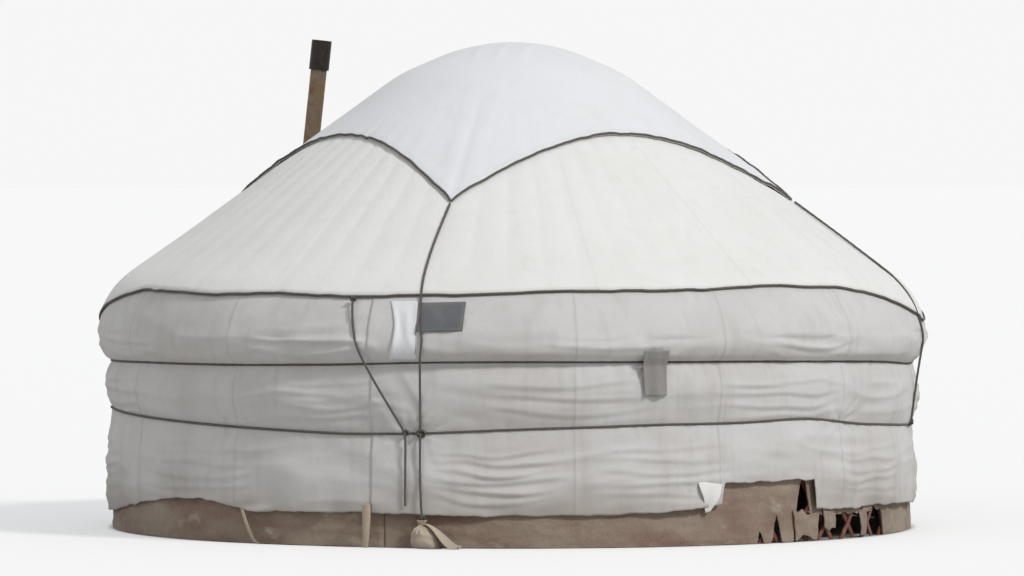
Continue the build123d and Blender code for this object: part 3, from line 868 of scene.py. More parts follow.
def sagging_folds(azimuth, heights):
    """Nested folds that sag between the places that hold the cloth, each with a shaded side."""
    out = np.zeros_like(heights)
    for number, (middle, half, top, droop, count, step, depth) in enumerate(SWAGS):
        across = (azimuth - middle)[None, :] / half
        window = ease(1.25 - np.abs(across)) * ease((1.25 - np.abs(across)) * 2)
        if not np.any(window > 0):
            continue
        wander = 0.016 * speckle(across * 2, heights, 1.0, 0.3, 70 + number)
        for fold in range(count):
            line = top - fold * step - droop * (1 - across ** 2) + wander
            line = line + 0.012 * np.sin(fold * 2.3 + across * 2.5)
            away = heights - line
            share = 1 - 0.35 * abs(2 * fold / max(1, count - 1) - 1)
            ridge = np.exp(-(away / 0.018) ** 2) - 0.7 * np.exp(-((away + 0.03) / 0.02) ** 2)
            out = out + depth * share * ridge * window
    return out


def knot_folds(azimuth, heights):
    """Creases that run out from the places where the ropes pull on the wall canvas."""
    out = np.zeros_like(heights)
    for number, (place, level) in enumerate(TIES):
        across = np.radians(azimuth - place)[None, :] * WALL_PINCH
        up = heights - level
        away = np.hypot(across, up) + 0.02
        turn = np.arctan2(up, across)
        rays = np.cos(turn * 9 + 1.3 * number + 3 * speckle(turn, away, 0.5, 0.2, 19))
        out = out + 0.009 * rays * np.exp(-away / 0.16) * ease(away / 0.08)
    return out


def wall_folds(azimuth, heights, near, fold_depth, pleat_depth):
    """How far the wall canvas stands out or in: sagging folds, and pleats beside the ropes."""
    around = way_round(azimuth, WALL_PINCH, heights)
    bands = np.array([band for band, share in wall_rows()])[:, None]
    shares = np.array([share for band, share in wall_rows()])[:, None]
    inside = np.where(bands <= MIDDLE, np.sin(pi * shares), 1.0)
    inside = np.where(bands == FOOT, np.maximum(inside, 1 - shares * 2.2), inside)
    inside = np.where(bands == BULGE, ease(shares * 1.6), inside)
    sag = 0.07 * np.sin(around * 2.1 + 0.6 * np.sin(around * 0.9))
    folds = 1 - 2 * np.abs(speckle(around, heights + sag, 0.62, 0.1, 11))
    folds = folds + 0.5 * speckle(around, heights + sag, 0.26, 0.055, 12)
    lumps = speckle(around, heights, 0.45, 0.22, 13)
    lumps = lumps + 0.5 * speckle(around, heights, 0.17, 0.14, 14)
    pleats = speckle(around, heights, 0.045, 0.6, 15)
    pleats = pleats + 0.6 * speckle(around, heights, 0.022, 0.3, 16)
    beside = np.exp(-np.clip(near, 0, None) / 0.07)
    where = 0.45 + 0.55 * ease(speckle(around, 0 * heights, 0.5, 1, 17) + 0.5)
    held_in = np.clip(near / 0.02, 0, 1)
    out = fold_depth * folds * inside * 0.45 + fold_depth * 0.7 * lumps * inside
    out = out + pleat_depth * pleats * beside * where * held_in
    calm = np.where(bands == EAVE, 1 - ease(shares * 2.2), 1.0)
    out = np.where(bands == EAVE, np.maximum(out * calm, -0.001), out)
    out = out + (knot_folds(azimuth, heights) + sagging_folds(azimuth, heights)) * held_in * calm
    beneath = ease((3.6 - np.abs(azimuth + 2.9)) / 1.2)[None, :] * ease((heights - 1.28) / 0.06)
    out = out + (np.minimum(out, 0.0) * 0.3 - out) * beneath
    drape = np.where(bands == FOOT, np.clip(1 - shares * 1.6, 0, 1) ** 2, 0)
    loose = 0.6 + 0.9 * np.exp(-(((azimuth + 28) / 20) ** 2))[None, :]
    flutter = (speckle(around, 0 * heights, 0.16, 1, 18) + 0.5) * 0.018 * loose
    return out + drape * flutter


SEAMS = {
    "back_left": (-155.0, -133.0, -111.0), "front_left": (-76.0, -52.5, -29.0),
    "front_right": (20.5, 41.3, 64.0, 82.0), "back_right": (111.0, 133.5, 156.0),
}


def seam_mask(azimuth, seams, radius, width):
    """Mask along the upright seams of a cloth."""
    mask = np.zeros_like(azimuth)
    for seam in seams:
        away = np.radians(azimuth - seam) * radius
        mask = np.maximum(mask, np.exp(-(away / width) ** 2))
    return mask


def fineness(part, plain=0.55):
    """Columns for each degree of a cloth, fewer on the plain parts."""
    return bpy.context.scene.tent_sizes.columns_per_degree * (1 if "front" in part else plain)


def wall_azimuths(first, last, extra, per_degree):
    """Columns of a cloth between two azimuths, with more at the places that need them."""
    count = max(3, int((last - first) * per_degree))
    even = np.linspace(first, last, count)
    more = [place for place in extra if first < place < last]
    near_seams = [seam + shift for seam in more for shift in (-0.2, -0.1, 0, 0.1, 0.2)]
    return np.unique(np.round(np.concatenate([even, near_seams]), 4))


def wall_canvas_piece(part, first, last, out, sizes):
    """One length of the wall canvas, hung from the eave and pinched in by the ropes."""
    azimuth = wall_azimuths(first, last, SEAMS[part] + NOTCH_EDGES, fineness(part))
    radii, heights, near = wall_height_and_radius(azimuth)
    folds = wall_folds(azimuth, heights, near, sizes.fold_depth, sizes.pleat_depth)
    seams = seam_mask(azimuth, SEAMS[part], WALL_PINCH, 0.008)[None, :] + 0 * heights
    radii = radii + folds + seams * 0.0025 + out
    lengths = np.zeros_like(heights)
    steps = np.hypot(np.diff(radii, axis=0), np.diff(heights, axis=0))
    lengths[1:] = np.cumsum(steps, axis=0)
    around = way_round(azimuth, CANVAS_RADIUS, heights)
    piece = cloth(
        f"wall_canvas_{part}", on_tent(radii, azimuth[None, :], heights),
        gathered(around, lengths), sizes.canvas_thickness, seams,
    )
    wide = float(np.radians(last - first) * CANVAS_RADIUS)
    tall = float(lengths[-1].max())
    area = float(np.trapz(lengths[-1], np.radians(azimuth) * CANVAS_RADIUS))
    return piece, (wide, tall), min(area, wide * tall)


class TENT_OT_wall_canvas(bpy.types.Operator):
    """Hang the four lengths of canvas on the wall"""

    bl_idname = "tent.wall_canvas"
    bl_label = "Wall Canvas"

    def execute(self, context):
        sizes = context.scene.tent_sizes
        # First and last azimuth of each length, and how far it lies outside its neighbour
        lengths = {
            "back_left": (-180 + DOOR_EDGE, -89, 0.0), "front_left": (-91.5, -5.0, 0.0035),
            "front_right": (-7.4, 91.0, 0.008), "back_right": (89.0, 180 - DOOR_EDGE, 0.004),
        }
        for part, (first, last, out) in lengths.items():
            piece, flat, area = wall_canvas_piece(part, first, last, out, sizes)
            dress(piece, canvas_finish("wall"), "wall_canvas", f"wall_cover_{part}")
        return {"FINISHED"}


# Felts

def felt_foot(azimuth):
    """Ragged lower edge of the wall felt, with the worn gap and the torn places."""
    around = np.radians(azimuth) * FELT_RADIUS
    foot = 0.0005 + 0.002 * (1 + speckle(around, 0 * around, 0.08, 1, 31))
    torn = ease((azimuth - WORN_EDGES[0]) / 0.7) * ease((WORN_EDGES[1] - azimuth) / 0.8)
    foot = foot + torn * (0.2 + 0.035 * speckle(around, 0 * around, 0.06, 1, 32))
    for middle, half_angle, top in ((56.7, 2.1, 0.46), (51.6, 0.9, 0.2), (48.6, 0.4, 0.12)):
        hole = ease(1 - np.abs(azimuth - middle) / half_angle) ** 0.6
        foot = np.maximum(foot, hole * top)
    return foot


class TENT_OT_wall_felts(bpy.types.Operator):
    """Stand the four lengths of felt against the lattice"""

    bl_idname = "tent.wall_felts"
    bl_label = "Wall Felts"

    def execute(self, context):
        sizes = context.scene.tent_sizes
        material = felt_finish()
        lengths = {
            "back_left": (-180 + DOOR_EDGE, -90.05), "front_left": (-89.95, -5.7),
            "front_right": (-5.6, 89.95), "back_right": (90.05, 180 - DOOR_EDGE),
        }
        for part, (first, last) in lengths.items():
            share_fine = 1 if part == "front_right" else 0.5
            azimuth = wall_azimuths(first, last, (), sizes.columns_per_degree * share_fine)
            share = np.linspace(0, 1, 64)[:, None] ** 1.5
            foot = felt_foot(azimuth)[None, :]
            heights = foot + (FELT_TOP - foot) * share
            around = way_round(azimuth, FELT_RADIUS, heights)
            lumps = speckle(around, heights, 0.2, 0.2, 33)
            lumps = lumps + speckle(around, heights, 0.06, 0.06, 34)
            slump = 1 - 2 * np.abs(speckle(around, heights, 0.5, 0.07, 36))
            low = ease(1 - heights / 0.32)
            radii = FELT_FACE + 0.002 * lumps + (0.009 + 0.007 * slump) * low
            piece = cloth(
                f"felt_wall_{part}", on_tent(radii, azimuth[None, :], heights),
                gathered(around, heights), sizes.felt_thickness,
            )
            dress(piece, material, "felt", f"wall_felt_{part}")
            if part == "front_right":
                self.scraps(material)
        return {"FINISHED"}

    def scraps(self, material):
        """Ragged ends of felt that hang loose in the torn place."""
        measured_at = 2.9
        hung_at = 2.885
        for number, (first, last, foot, top) in enumerate((
            (54.4, 58.9, 0.004, 0.2), (60.4, 63.0, 0.06, 0.23), (69.5, 71.2, 0.012, 0.22),
        )):
            azimuth = np.linspace(first, last, 40)
            share = np.linspace(0, 1, 24)[:, None]
            around = np.radians(azimuth)[None, :] * measured_at
            low = foot + 0.022 * (1 + speckle(around, 0 * around, 0.035, 1, 35 + number))
            high = top + 0.03 * speckle(around, 0 * around, 0.05, 1, 38 + number)
            height = low + (high - low) * share
            lean = hung_at + 0.016 * np.sin(pi * share) + 0.006 * speckle(
                around, height, 0.06, 0.06, 45)
            points = on_tent(lean, azimuth[None, :] + 0.5 * (1 - share), height)
            places = gathered(around, height)
            piece = cloth(f"felt_scrap_{number + 1}", points, places, 0.008)
            dress(piece, material, "felt")


def roof_grid(first, last, foot_height, top, rows, per_degree):
    """Azimuths and lengths up the roof, over a part of the roof."""
    count = int((last - first) * per_degree)
    azimuth = np.linspace(first, last, count)
    share = np.linspace(0, 1, rows)[:, None]
    low = roof_length_at(foot_height(azimuth))[None, :]
    high = roof_length_at(top)
    return azimuth, low + (high - low) * share


CROWN_TOP_HEIGHT = SLOPE_FOOT_HEIGHT + (SLOPE_FOOT - 0.85) * tan(SLOPE)


class TENT_OT_roof_felts(bpy.types.Operator):
    """Lay the two halves of felt on the roof poles"""

    bl_idname = "tent.roof_felts"
    bl_label = "Roof Felts"

    def execute(self, context):
        sizes = context.scene.tent_sizes
        material = felt_finish()
        beneath = 0.0095
        for part, first, last in (("front", -90, 90), ("back", 90, 270)):
            azimuth, length = roof_grid(
                first, last, lambda place: FELT_FOOT + 0 * place, CROWN_TOP_HEIGHT, 24, 1.0,
            )
            around = way_round(azimuth, 2, length)
            lumps = speckle(around, length, 0.2, 0.2, 41)
            radius, height = roof_point(length, 0.0012 * lumps - beneath)
            points = on_tent(radius, azimuth[None, :], height)
            piece = cloth(f"felt_roof_{part}", points, gathered(around, length),
                          sizes.felt_thickness)
            dress(piece, material, "felt", f"roof_felt_{part}")
        return {"FINISHED"}


# Roof canvas

ROOF_SEAMS = tuple(range(-168, 181, 24))
CROWN_CORNER = 2.05


def roof_hem(azimuth):
    """Height of the roof canvas's hem, drawn up a little between its ties."""
    around = np.radians(azimuth) * 2.9
    wave = 0.006 * speckle(around, 0 * around, 0.3, 1, 51)
    wave = wave + 0.003 * speckle(around, 0 * around, 0.1, 1, 52)
    return smooth_value(ROOF_HEM, (azimuth + 180) % 360 - 180) + wave


def roof_out(azimuth, length, pole_ridge, lap):
    """How far the roof canvas stands out: ridges on the poles, sagging and light wrinkles."""
    around = way_round(azimuth, ROOF_MEASURE, length)
    on_pole = np.abs(np.cos(pi * (azimuth - BAY / 2) / BAY))[None, :]
    slope = ease((length - 0.75) / 0.3)
    ridge = -pole_ridge * (1 - on_pole) * (0.35 + 0.65 * slope)
    broad = 0.006 * speckle(around, length, 0.9, 0.7, 53)
    fine = 0.0025 * speckle(around, length, 0.22, 0.5, 54)
    cross = 0.0022 * speckle(around, length, 0.5, 0.12, 55)
    from_hem = length - length[:1]
    gathers = 0.007 * speckle(around, length, 0.09, 1.5, 56) * np.exp(-from_hem / 0.12)
    low = ease(1 - (length - 0.45) / 0.6)
    out = np.maximum(0.005 + 0.006 * low + ridge + broad + fine + cross + gathers + lap, 0.003)
    turn = np.radians(azimuth)[None, :]
    reach = CROWN_CORNER / (np.abs(np.sin(turn)) + np.abs(np.cos(turn)))
    radius = np.interp(length, ROOF_LENGTH, ROOF_RADIUS)
    covered = ease((reach + 0.02 - radius) / 0.12)
    out = out + (0.002 - out) * covered
    aside = np.abs((azimuth + (180 - PLATE_AZIMUTH)) % 360 - 180)[None, :]
    under_plate = ease((10.5 - aside) / 3) * ease((0.27 - np.abs(radius - PLATE_RADIUS)) / 0.1)
    return out + (-0.002 - out) * under_plate


class TENT_OT_roof_canvas(bpy.types.Operator):
    """Spread the two halves of canvas over the roof"""

    bl_idname = "tent.roof_canvas"
    bl_label = "Roof Canvas"

    def execute(self, context):
        sizes = context.scene.tent_sizes
        # First and last azimuth of each half, and how far it laps over the other
        halves = (("back", 88.5, 271.5, 0.0), ("front", -92.5, 92.5, 0.006))
        for part, first, last, lap in halves:
            azimuth, length = roof_grid(
                first, last, roof_hem, CROWN_TOP_HEIGHT, 54, fineness(part, 0.6),
            )
            out = roof_out(azimuth, length, sizes.pole_ridge, lap)
            seams = seam_mask((azimuth + 180) % 360 - 180, ROOF_SEAMS, ROOF_MEASURE, 0.007)
            seams = 0.4 * seams[None, :] + 0 * length
            radius, height = roof_point(length, out + 0.002 * seams)
            around = way_round(azimuth, ROOF_MEASURE, length)
            piece = cloth(
                f"canvas_roof_{part}", on_tent(radius, azimuth[None, :], height),
                gathered(around, length), sizes.canvas_thickness, seams,
            )
            dress(piece, canvas_finish("roof"), "roof_canvas", f"roof_cover_{part}")
        return {"FINISHED"}


# Crown cover

DOME_FOOT = 0.8
DOME_TOP = 3.4975
DOME_PITCH = radians(22.5)


def crown_height(radius):
    """Height of the crown cover's outer side over radii: a dome, then the roof's slope."""
    above = 0.02
    foot_height = SLOPE_FOOT_HEIGHT + (SLOPE_FOOT - DOME_FOOT) * tan(SLOPE) + above / cos(SLOPE)
    slope = foot_height - (radius - DOME_FOOT) * tan(SLOPE)
    rise = DOME_TOP - foot_height
    bend = (DOME_FOOT * tan(DOME_PITCH) - rise) / (1 / cos(DOME_PITCH) - 1)
    cap = DOME_TOP - bend + np.sqrt(np.clip(bend ** 2 - radius ** 2, 0, None))
    shoulder_radius = bend * sin(DOME_PITCH)
    straight = foot_height + (DOME_FOOT - radius) * tan(DOME_PITCH)
    dome = np.where(radius < shoulder_radius, cap, straight)
    sharp = 60.0
    softened = -np.log(np.exp(-sharp * (dome - 3)) + np.exp(-sharp * (slope - 3))) / sharp + 3
    return softened


class TENT_OT_crown_cover(bpy.types.Operator):
    """Lay the square cloth over the crown, with a corner to the front, back and each side"""

    bl_idname = "tent.crown_cover"
    bl_label = "Crown Cover"

    def execute(self, context):
        sizes = context.scene.tent_sizes
        count = 131
        half_bar_gap = 0.0825
        a, b = np.meshgrid(np.linspace(-1, 1, count), np.linspace(-1, 1, count))
        half = CROWN_CORNER / 2
        x = (a - b) * half
        y = (a + b) * half
        edge = np.minimum(1 - np.abs(a), 1 - np.abs(b)) * CROWN_CORNER * 0.7
        bow = 0.045 * (np.exp(-((1 - np.abs(a)) / 0.16)) * np.cos(pi * b / 2)
                       + np.exp(-((1 - np.abs(b)) / 0.16)) * np.cos(pi * a / 2))
        x = x * (1 - bow * 0.55)
        y = y * (1 - bow * 0.55)
        radius = np.hypot(x, y)
        azimuth = np.degrees(np.arctan2(x, -y))
        on_pole = np.abs(np.cos(pi * (azimuth - BAY / 2) / BAY))
        ridge = 0.003 * (on_pole - 1) * ease((radius - 0.95) / 0.3)
        pulled = np.exp(-np.minimum(np.abs(x), np.abs(y)) / 0.25)
        tension = 0.007 * speckle(np.minimum(np.abs(x), np.abs(y)), radius, 0.055, 0.9, 61) * pulled
        tension = tension * ease((radius - 0.7) / 0.6)
        bars = np.maximum(
            np.exp(-((np.abs(np.abs(x) - half_bar_gap) - half_bar_gap) / 0.03) ** 2),
            np.exp(-((np.abs(np.abs(y) - half_bar_gap) - half_bar_gap) / 0.03) ** 2),
        )
        bars = 0.006 * (bars - 0.6) * ease((0.72 - radius) / 0.25)
        broad = 0.006 * speckle(x, y, 0.5, 0.5, 62) + 0.003 * speckle(x, y, 0.2, 0.2, 63)
        flutter = 0.012 * speckle(a * 2, b * 2, 0.16, 0.16, 64) * np.exp(-edge / 0.07)
        height = crown_height(radius) + ridge + tension + bars + broad * 0.8
        height = height + np.abs(flutter)
        points = gathered(x, y, height)
        places = gathered(a, b) * CROWN_CORNER * 0.7071 * 1.12
        hem = np.exp(-((edge - 0.05) / 0.005) ** 2)
        piece = cloth("cloth_crown", points, places, 0.009, hem)
        dress(piece, canvas_finish("crown"), "crown_cloth", "crown_cover")
        rim = np.concatenate([points[0], points[1:, -1], points[-1, -2::-1], points[-2:0:-1, 0]])
        rim = np.concatenate([rim, rim[:2]])
        lay_rope("cord_crown_edge", rim + (0, 0, 0.004), sizes.cord_radius, sides=10)
        return {"FINISHED"}


# Ropes

def waist_path(table, first, last, radius):
    """Path of a rope round the wall at the heights of a table."""
    clear = 0.0045
    azimuth = np.arange(first, last, 0.5)
    height = smooth_value(table, azimuth)
    return on_tent(WALL_PINCH + clear + radius * 0.75, azimuth, height)


class TENT_OT_waist_ropes(bpy.types.Operator):
    """Draw the two ropes round the wall and the cord along the roof canvas's hem"""

    bl_idname = "tent.waist_ropes"
    bl_label = "Waist Ropes"

    def execute(self, context):
        sizes = context.scene.tent_sizes
        radius = sizes.waist_rope_radius
        for part, table in (("upper", UPPER_ROPE), ("lower", LOWER_ROPE)):
            path = waist_path(table, -180 + DOOR_EDGE, 180.2 - DOOR_EDGE, radius)
            lay_rope(f"rope_waist_{part}", path, radius, f"waist_rope_{part}", sides=9)
        for part, first, last, lap in (("back", 89.6, 270.4, 0.0), ("front", -90.6, 90.9, 0.006)):
            azimuth = np.arange(first, last, 0.5)
            height = roof_hem(azimuth)
            length = roof_length_at(height)
            radius_out, level = roof_point(length, 0.011 + lap)
            lay_rope(f"cord_hem_{part}", on_tent(radius_out, azimuth, level - 0.003),
                     sizes.cord_radius, sides=10)
        return {"FINISHED"}


def knot(name, centre, out, radius, reach, turns, seed):
    """Lump of rope wound about a crossing."""
    rng = np.random.default_rng(seed)
    centre = np.array(centre)
    out = np.array(out, float) / np.linalg.norm(out)
    along = np.cross((0, 0, 1), out)
    up = np.cross(out, along)
    points = []
    count = turns * 14
    for step in range(count + 1):
        turn = 2 * pi * step * turns / count
        tilt = 0.9 * sin(turn * 0.37 + rng.uniform(-0.2, 0.2))
        flat = reach * (0.62 + 0.38 * cos(turn * 0.55))
        wide = flat * cos(turn)
        tall = flat * sin(turn) * (0.55 + 0.25 * cos(tilt))
        deep = reach * 0.5 * sin(turn * 0.5 + tilt) + reach * 0.25
        points.append(centre + along * wide + up * tall + out * deep)
    lay_rope(name, rounded_path(points, rounds=2), radius, step=radius * 0.8, sides=8)


def roof_run(azimuth_of, start_radius, stop_height, out, count=40):
    """Points down the roof from a radius to a height, at azimuths given by the way down."""
    start = np.interp(-start_radius, -ROOF_RADIUS[20:], ROOF_LENGTH[20:])
    stop = roof_length_at(stop_height)
    length = np.linspace(start, stop, count)
    radius, height = roof_point(length, out)
    share = np.linspace(0, 1, count)
    return on_tent(radius, azimuth_of(share), height)


class TENT_OT_crown_ropes(bpy.types.Operator):
    """Tie the crown cover's corners down, with the second rope at the front and the knots"""

    bl_idname = "tent.crown_ropes"
    bl_label = "Crown Ropes"

    def execute(self, context):
        sizes = context.scene.tent_sizes
        radius = sizes.crown_rope_radius
        over = 0.02
        top = 2.06
        front = roof_run(
            lambda share: -0.9 * np.sin(pi * share) + 0.2 * share, top, 1.42, over,
        )
        front = np.concatenate([front, on_tent(
            np.array([3.017, 3.0, 2.955, 2.922, 2.92, 2.952, 2.962, 2.957]),
            np.array([0.1, -0.1, -0.25, -0.35, -0.4, -0.3, -0.1, 0.0]),
            np.array([1.36, 1.28, 1.03, 0.83, 0.76, 0.5, 0.3, 0.215]),
        )])
        lay_rope("rope_crown_front", rounded_path(front, rounds=2), radius, "crown_rope_front")
        for part, side in (("left", -90), ("right", 90)):
            foot = float(table_value(LOWER_ROPE, side)) + 0.012
            lap = on_tent(
                np.array([3.011, 2.99, 2.957, 2.916]), np.full(4, side + 0.0),
                np.array([1.4, 1.28, 1.08, foot]),
            )
            run = roof_run(lambda share: side + 0.5 * np.sin(2 * pi * share), top, 1.52, over)
            path = rounded_path(np.concatenate([run[::4], lap]), rounds=4)
            lay_rope(f"rope_crown_{part}", path, radius, f"crown_rope_{part}")
            centre = on_tent(2.914, side, foot)
            knot(f"knot_{part}", centre, on_tent(1.0, side, 0.0), 0.007, 0.022, 3, 160 + side)
        run = roof_run(lambda share: 180 + 0.3 * np.sin(pi * share), top, 1.83, over)
        lay_rope("rope_crown_back", run, radius, "crown_rope_back")
        run = on_tent(
            np.array([2.91, 2.945, 2.982, 3.006, 3.01, 2.985, 2.95, 2.925, 2.922, 2.95, 2.953,
                      2.95]),
            np.array([-10, -9.8, -9.4, -8.9, -8.2, -6.4, -4.2, -2.7, -2.4, -2.3, -2.3, -2.3]),
            np.array([1.697, 1.62, 1.52, 1.41, 1.32, 1.14, 0.94, 0.81, 0.76, 0.55, 0.4, 0.29]),
        )
        lay_rope("rope_slanting_front", rounded_path(run, rounds=3), radius)
        for name, azimuth, height, reach in (
            ("knot_front", -0.4, 0.785, 0.035), ("knot_slanting", -2.5, 0.79, 0.022),
            ("knot_hem", -10, 1.7, 0.02), ("knot_sack", 0.0, 0.21, 0.02),
        ):
            out = 2.952 if name == "knot_sack" else 2.908
            centre = on_tent(out, azimuth, height)
            knot(name, centre, on_tent(1.0, azimuth, 0.0), 0.0075, reach, sizes.rope_turns,
                 int(height * 100))
        return {"FINISHED"}


# Small cloths

def wall_surface(azimuth, height):
    """Radius of the wall canvas at azimuths and heights, without its folds."""
    azimuth = np.asarray(azimuth, float)
    radii, heights = wall_height_and_radius(azimuth.ravel())[:2]
    result = np.empty(azimuth.size)
    flat_height = np.broadcast_to(height, azimuth.shape).ravel()
    for index in range(azimuth.size):
        result[index] = np.interp(flat_height[index], heights[:, index], radii[:, index])
    return result.reshape(azimuth.shape)


class TENT_OT_small_cloths(bpy.types.Operator):
    """Sew on the dark patch, hang the grey flap and fold back the torn corner"""

    bl_idname = "tent.small_cloths"
    bl_label = "Patch and Flap"

    def execute(self, context):
        across = np.linspace(-1, 1, 25)[None, :]
        up = np.linspace(-1, 1, 19)[:, None]
        middle, half_angle = 2.6, 3.05
        middle_height, half_height = 1.584, 0.098
        azimuth = middle + across * half_angle + 0.12 * up
        height = middle_height + up * half_height + 0.004 * across
        radius = wall_surface(azimuth + 0 * height, height)
        bulge = 0.022 - 0.008 * up + 0.004 * speckle(across * 0.15 + 0 * up, height, 0.05, 0.05, 81)
        points = on_tent(radius + bulge, azimuth + 0 * height, height)
        places = gathered(across * 0.155, up * 0.105)
        edge = np.maximum(np.abs(across), np.abs(up)) + 0 * height
        seam = np.exp(-((edge - 0.9) / 0.05) ** 2)
        piece = cloth("patch_dark", points, places, 0.002, seam)
        dress(piece, canvas_finish("patch"), "wall_canvas")
        self.lap()
        share = np.linspace(0, 1, 30)[:, None]
        top, tall = 1.352, 0.312
        middle, half_angle = 31.2, 1.75
        level = top - share * tall
        around = middle + across * (half_angle - 0.2 * share) + 0.25 * share ** 2
        hang = np.interp(level, (1.0, 1.14, 1.25, 1.3, 1.36), (2.968, 2.962, 2.965, 2.992, 3.016))
        wave = 0.01 * np.sin(across * 4.2 + 0.8) * share + 0.004 * speckle(
            across * 0.08 + 0 * share, level, 0.03, 0.08, 82)
        points = on_tent(hang + wave, around, level + 0 * across)
        places = gathered(across * 0.085, share * 0.33)
        piece = cloth("flap_grey", points, places, 0.002)
        dress(piece, canvas_finish("flap"), "wall_canvas")
        corner = self.turned_corner()
        dress(corner, canvas_finish("roof"), "wall_canvas")
        return {"FINISHED"}

    def lap(self):
        """Clean end of the cover that laps over beside the front rope, with its edge rolled in."""
        share = np.linspace(0, 1, 48)[:, None]
        across = np.linspace(0, 1, 30)[None, :]
        foot, tall = 1.292, 0.397
        last = -0.75
        level = foot + tall * share + 0 * across
        first = -4.4 + 0.9 * np.sin(2.6 * share) - 0.8 * share ** 3
        azimuth = first + (last - first) * across
        radius = wall_surface(np.full((48, 1), -3.0), level[:, :1])
        ridge = 0.011 * np.exp(-((across - 0.1) / 0.1) ** 2)
        ridge = ridge + 0.004 * np.sin(across * 9 + 4 * share) * np.sin(pi * share)
        radius = radius + 0.016 + ridge * (0.3 + 0.7 * np.sin(pi * share))
        radius = radius + 0.003 * speckle(across, share, 0.2, 0.15, 86)
        places = gathered(across * 0.19, share * 0.44)
        piece = cloth("lap_front", on_tent(radius, azimuth, level), places, 0.003)
        dress(piece, canvas_finish("crown"), "wall_canvas")

    def turned_corner(self):
        """The torn corner of the wall canvas, folded back on itself beside the notch."""
        share = np.linspace(0, 1, 22)[:, None]
        across = np.linspace(0, 1, 22)[None, :]
        azimuth = 37.6 + across * 4.0 * (1 - 0.8 * share) + 1.6 * share
        azimuth = azimuth + 0.15 * speckle(share, across, 0.3, 0.3, 84)
        height = 0.452 - 0.03 * across - 0.225 * share + 0.05 * across * share
        lift = 0.01 + 0.02 * np.sin(pi * share) + 0.006 * np.sin(4 * across + 5 * share)
        radius = wall_surface(azimuth * 0 + 38.0, height) + lift + 0.006
        points = on_tent(radius, azimuth, height)[::-1]
        places = gathered(across * 0.18, share * 0.18)
        return cloth("corner_turned", points, places, 0.003)


# Doorway

class TENT_OT_door_curtain(bpy.types.Operator):
    """Roll the door curtain up over the doorway and tie it"""

    bl_idname = "tent.door_curtain"
    bl_label = "Door Curtain"

    def execute(self, context):
        roll_out, roll_height, roll_radius = 2.9303, 1.575, 0.075
        half_width = 0.57
        tie_place = 0.3
        layer = 0.016
        under_canvas = float(roof_length_at(1.9))
        on_roof = 0.26
        lengths = np.linspace(under_canvas, under_canvas - on_roof, 14)
        radius, height = roof_point(lengths, -0.004)
        down = list(zip(radius, height))
        turns = 3.2
        count = 150
        spiral = []
        for step in range(count + 1):
            turn = 2 * pi * turns * step / count
            reach = roll_radius - layer * turn / (2 * pi)
            spiral.append((roll_out + reach * cos(0.5 + turn),
                           roll_height + reach * sin(0.5 - turn) * 0.97))
        profile = np.array(down + spiral)
        steps = np.hypot(*np.diff(profile, axis=0).T)
        along = np.concatenate([[0], np.cumsum(steps)])
        even = np.linspace(0, along[-1], 150)
        out = np.interp(even, along, profile[:, 0])[:, None]
        level = np.interp(even, along, profile[:, 1])[:, None]
        across = np.linspace(-half_width, half_width, 44)[None, :]
        from_roll = np.hypot(out - roll_out, level - roll_height)
        rolled = (even[:, None] > along[len(down)])
        tied = np.exp(-((np.abs(across) - tie_place) / 0.05) ** 2)
        shrink = 1 - 0.16 * tied * rolled
        slack = 0.004 * speckle(across, even[:, None], 0.12, 0.05, 91)
        slack = slack + 0.003 * speckle(across, even[:, None], 0.3, 0.9, 92)
        new_out = np.where(rolled, roll_out + (out - roll_out) * shrink, out)
        new_level = np.where(rolled, roll_height + (level - roll_height) * shrink, level)
        new_out = new_out + slack * np.where(from_roll > 0.03, 1, 0.3)
        round_roof = ease((along[len(down) - 1] - even[:, None]) / 0.09)
        new_out = new_out - (new_out - np.sqrt(new_out ** 2 - across ** 2)) * round_roof
        skew = 0.012 * (even[:, None] / along[-1]) * np.sign(across)
        skew = skew * np.abs(across / half_width) ** 6
        points = gathered(across + skew, new_out, new_level)
        places = gathered(across, even[:, None])
        piece = cloth("curtain_roll", points, places, 0.004)
        dress(piece, canvas_finish("curtain"), "curtain_cloth", "door_curtain")
        for side in (-tie_place, tie_place):
            turn = np.linspace(0, 2 * pi, 40)
            loop = np.stack([
                side + 0.006 * np.sin(turn), roll_out + 0.0675 * np.cos(turn),
                roll_height + 0.0665 * np.sin(turn),
            ], axis=1)
            tail = np.array([
                [side, 3.0, 1.56], [side + 0.01, 3.003, 1.52], [side + 0.014, 2.998, 1.46],
            ])
            which = "left" if side < 0 else "right"
            lay_rope(f"tie_curtain_{which}", np.concatenate([loop, tail]), 0.005, sides=8)
        return {"FINISHED"}


# Weight sack, stake and strap

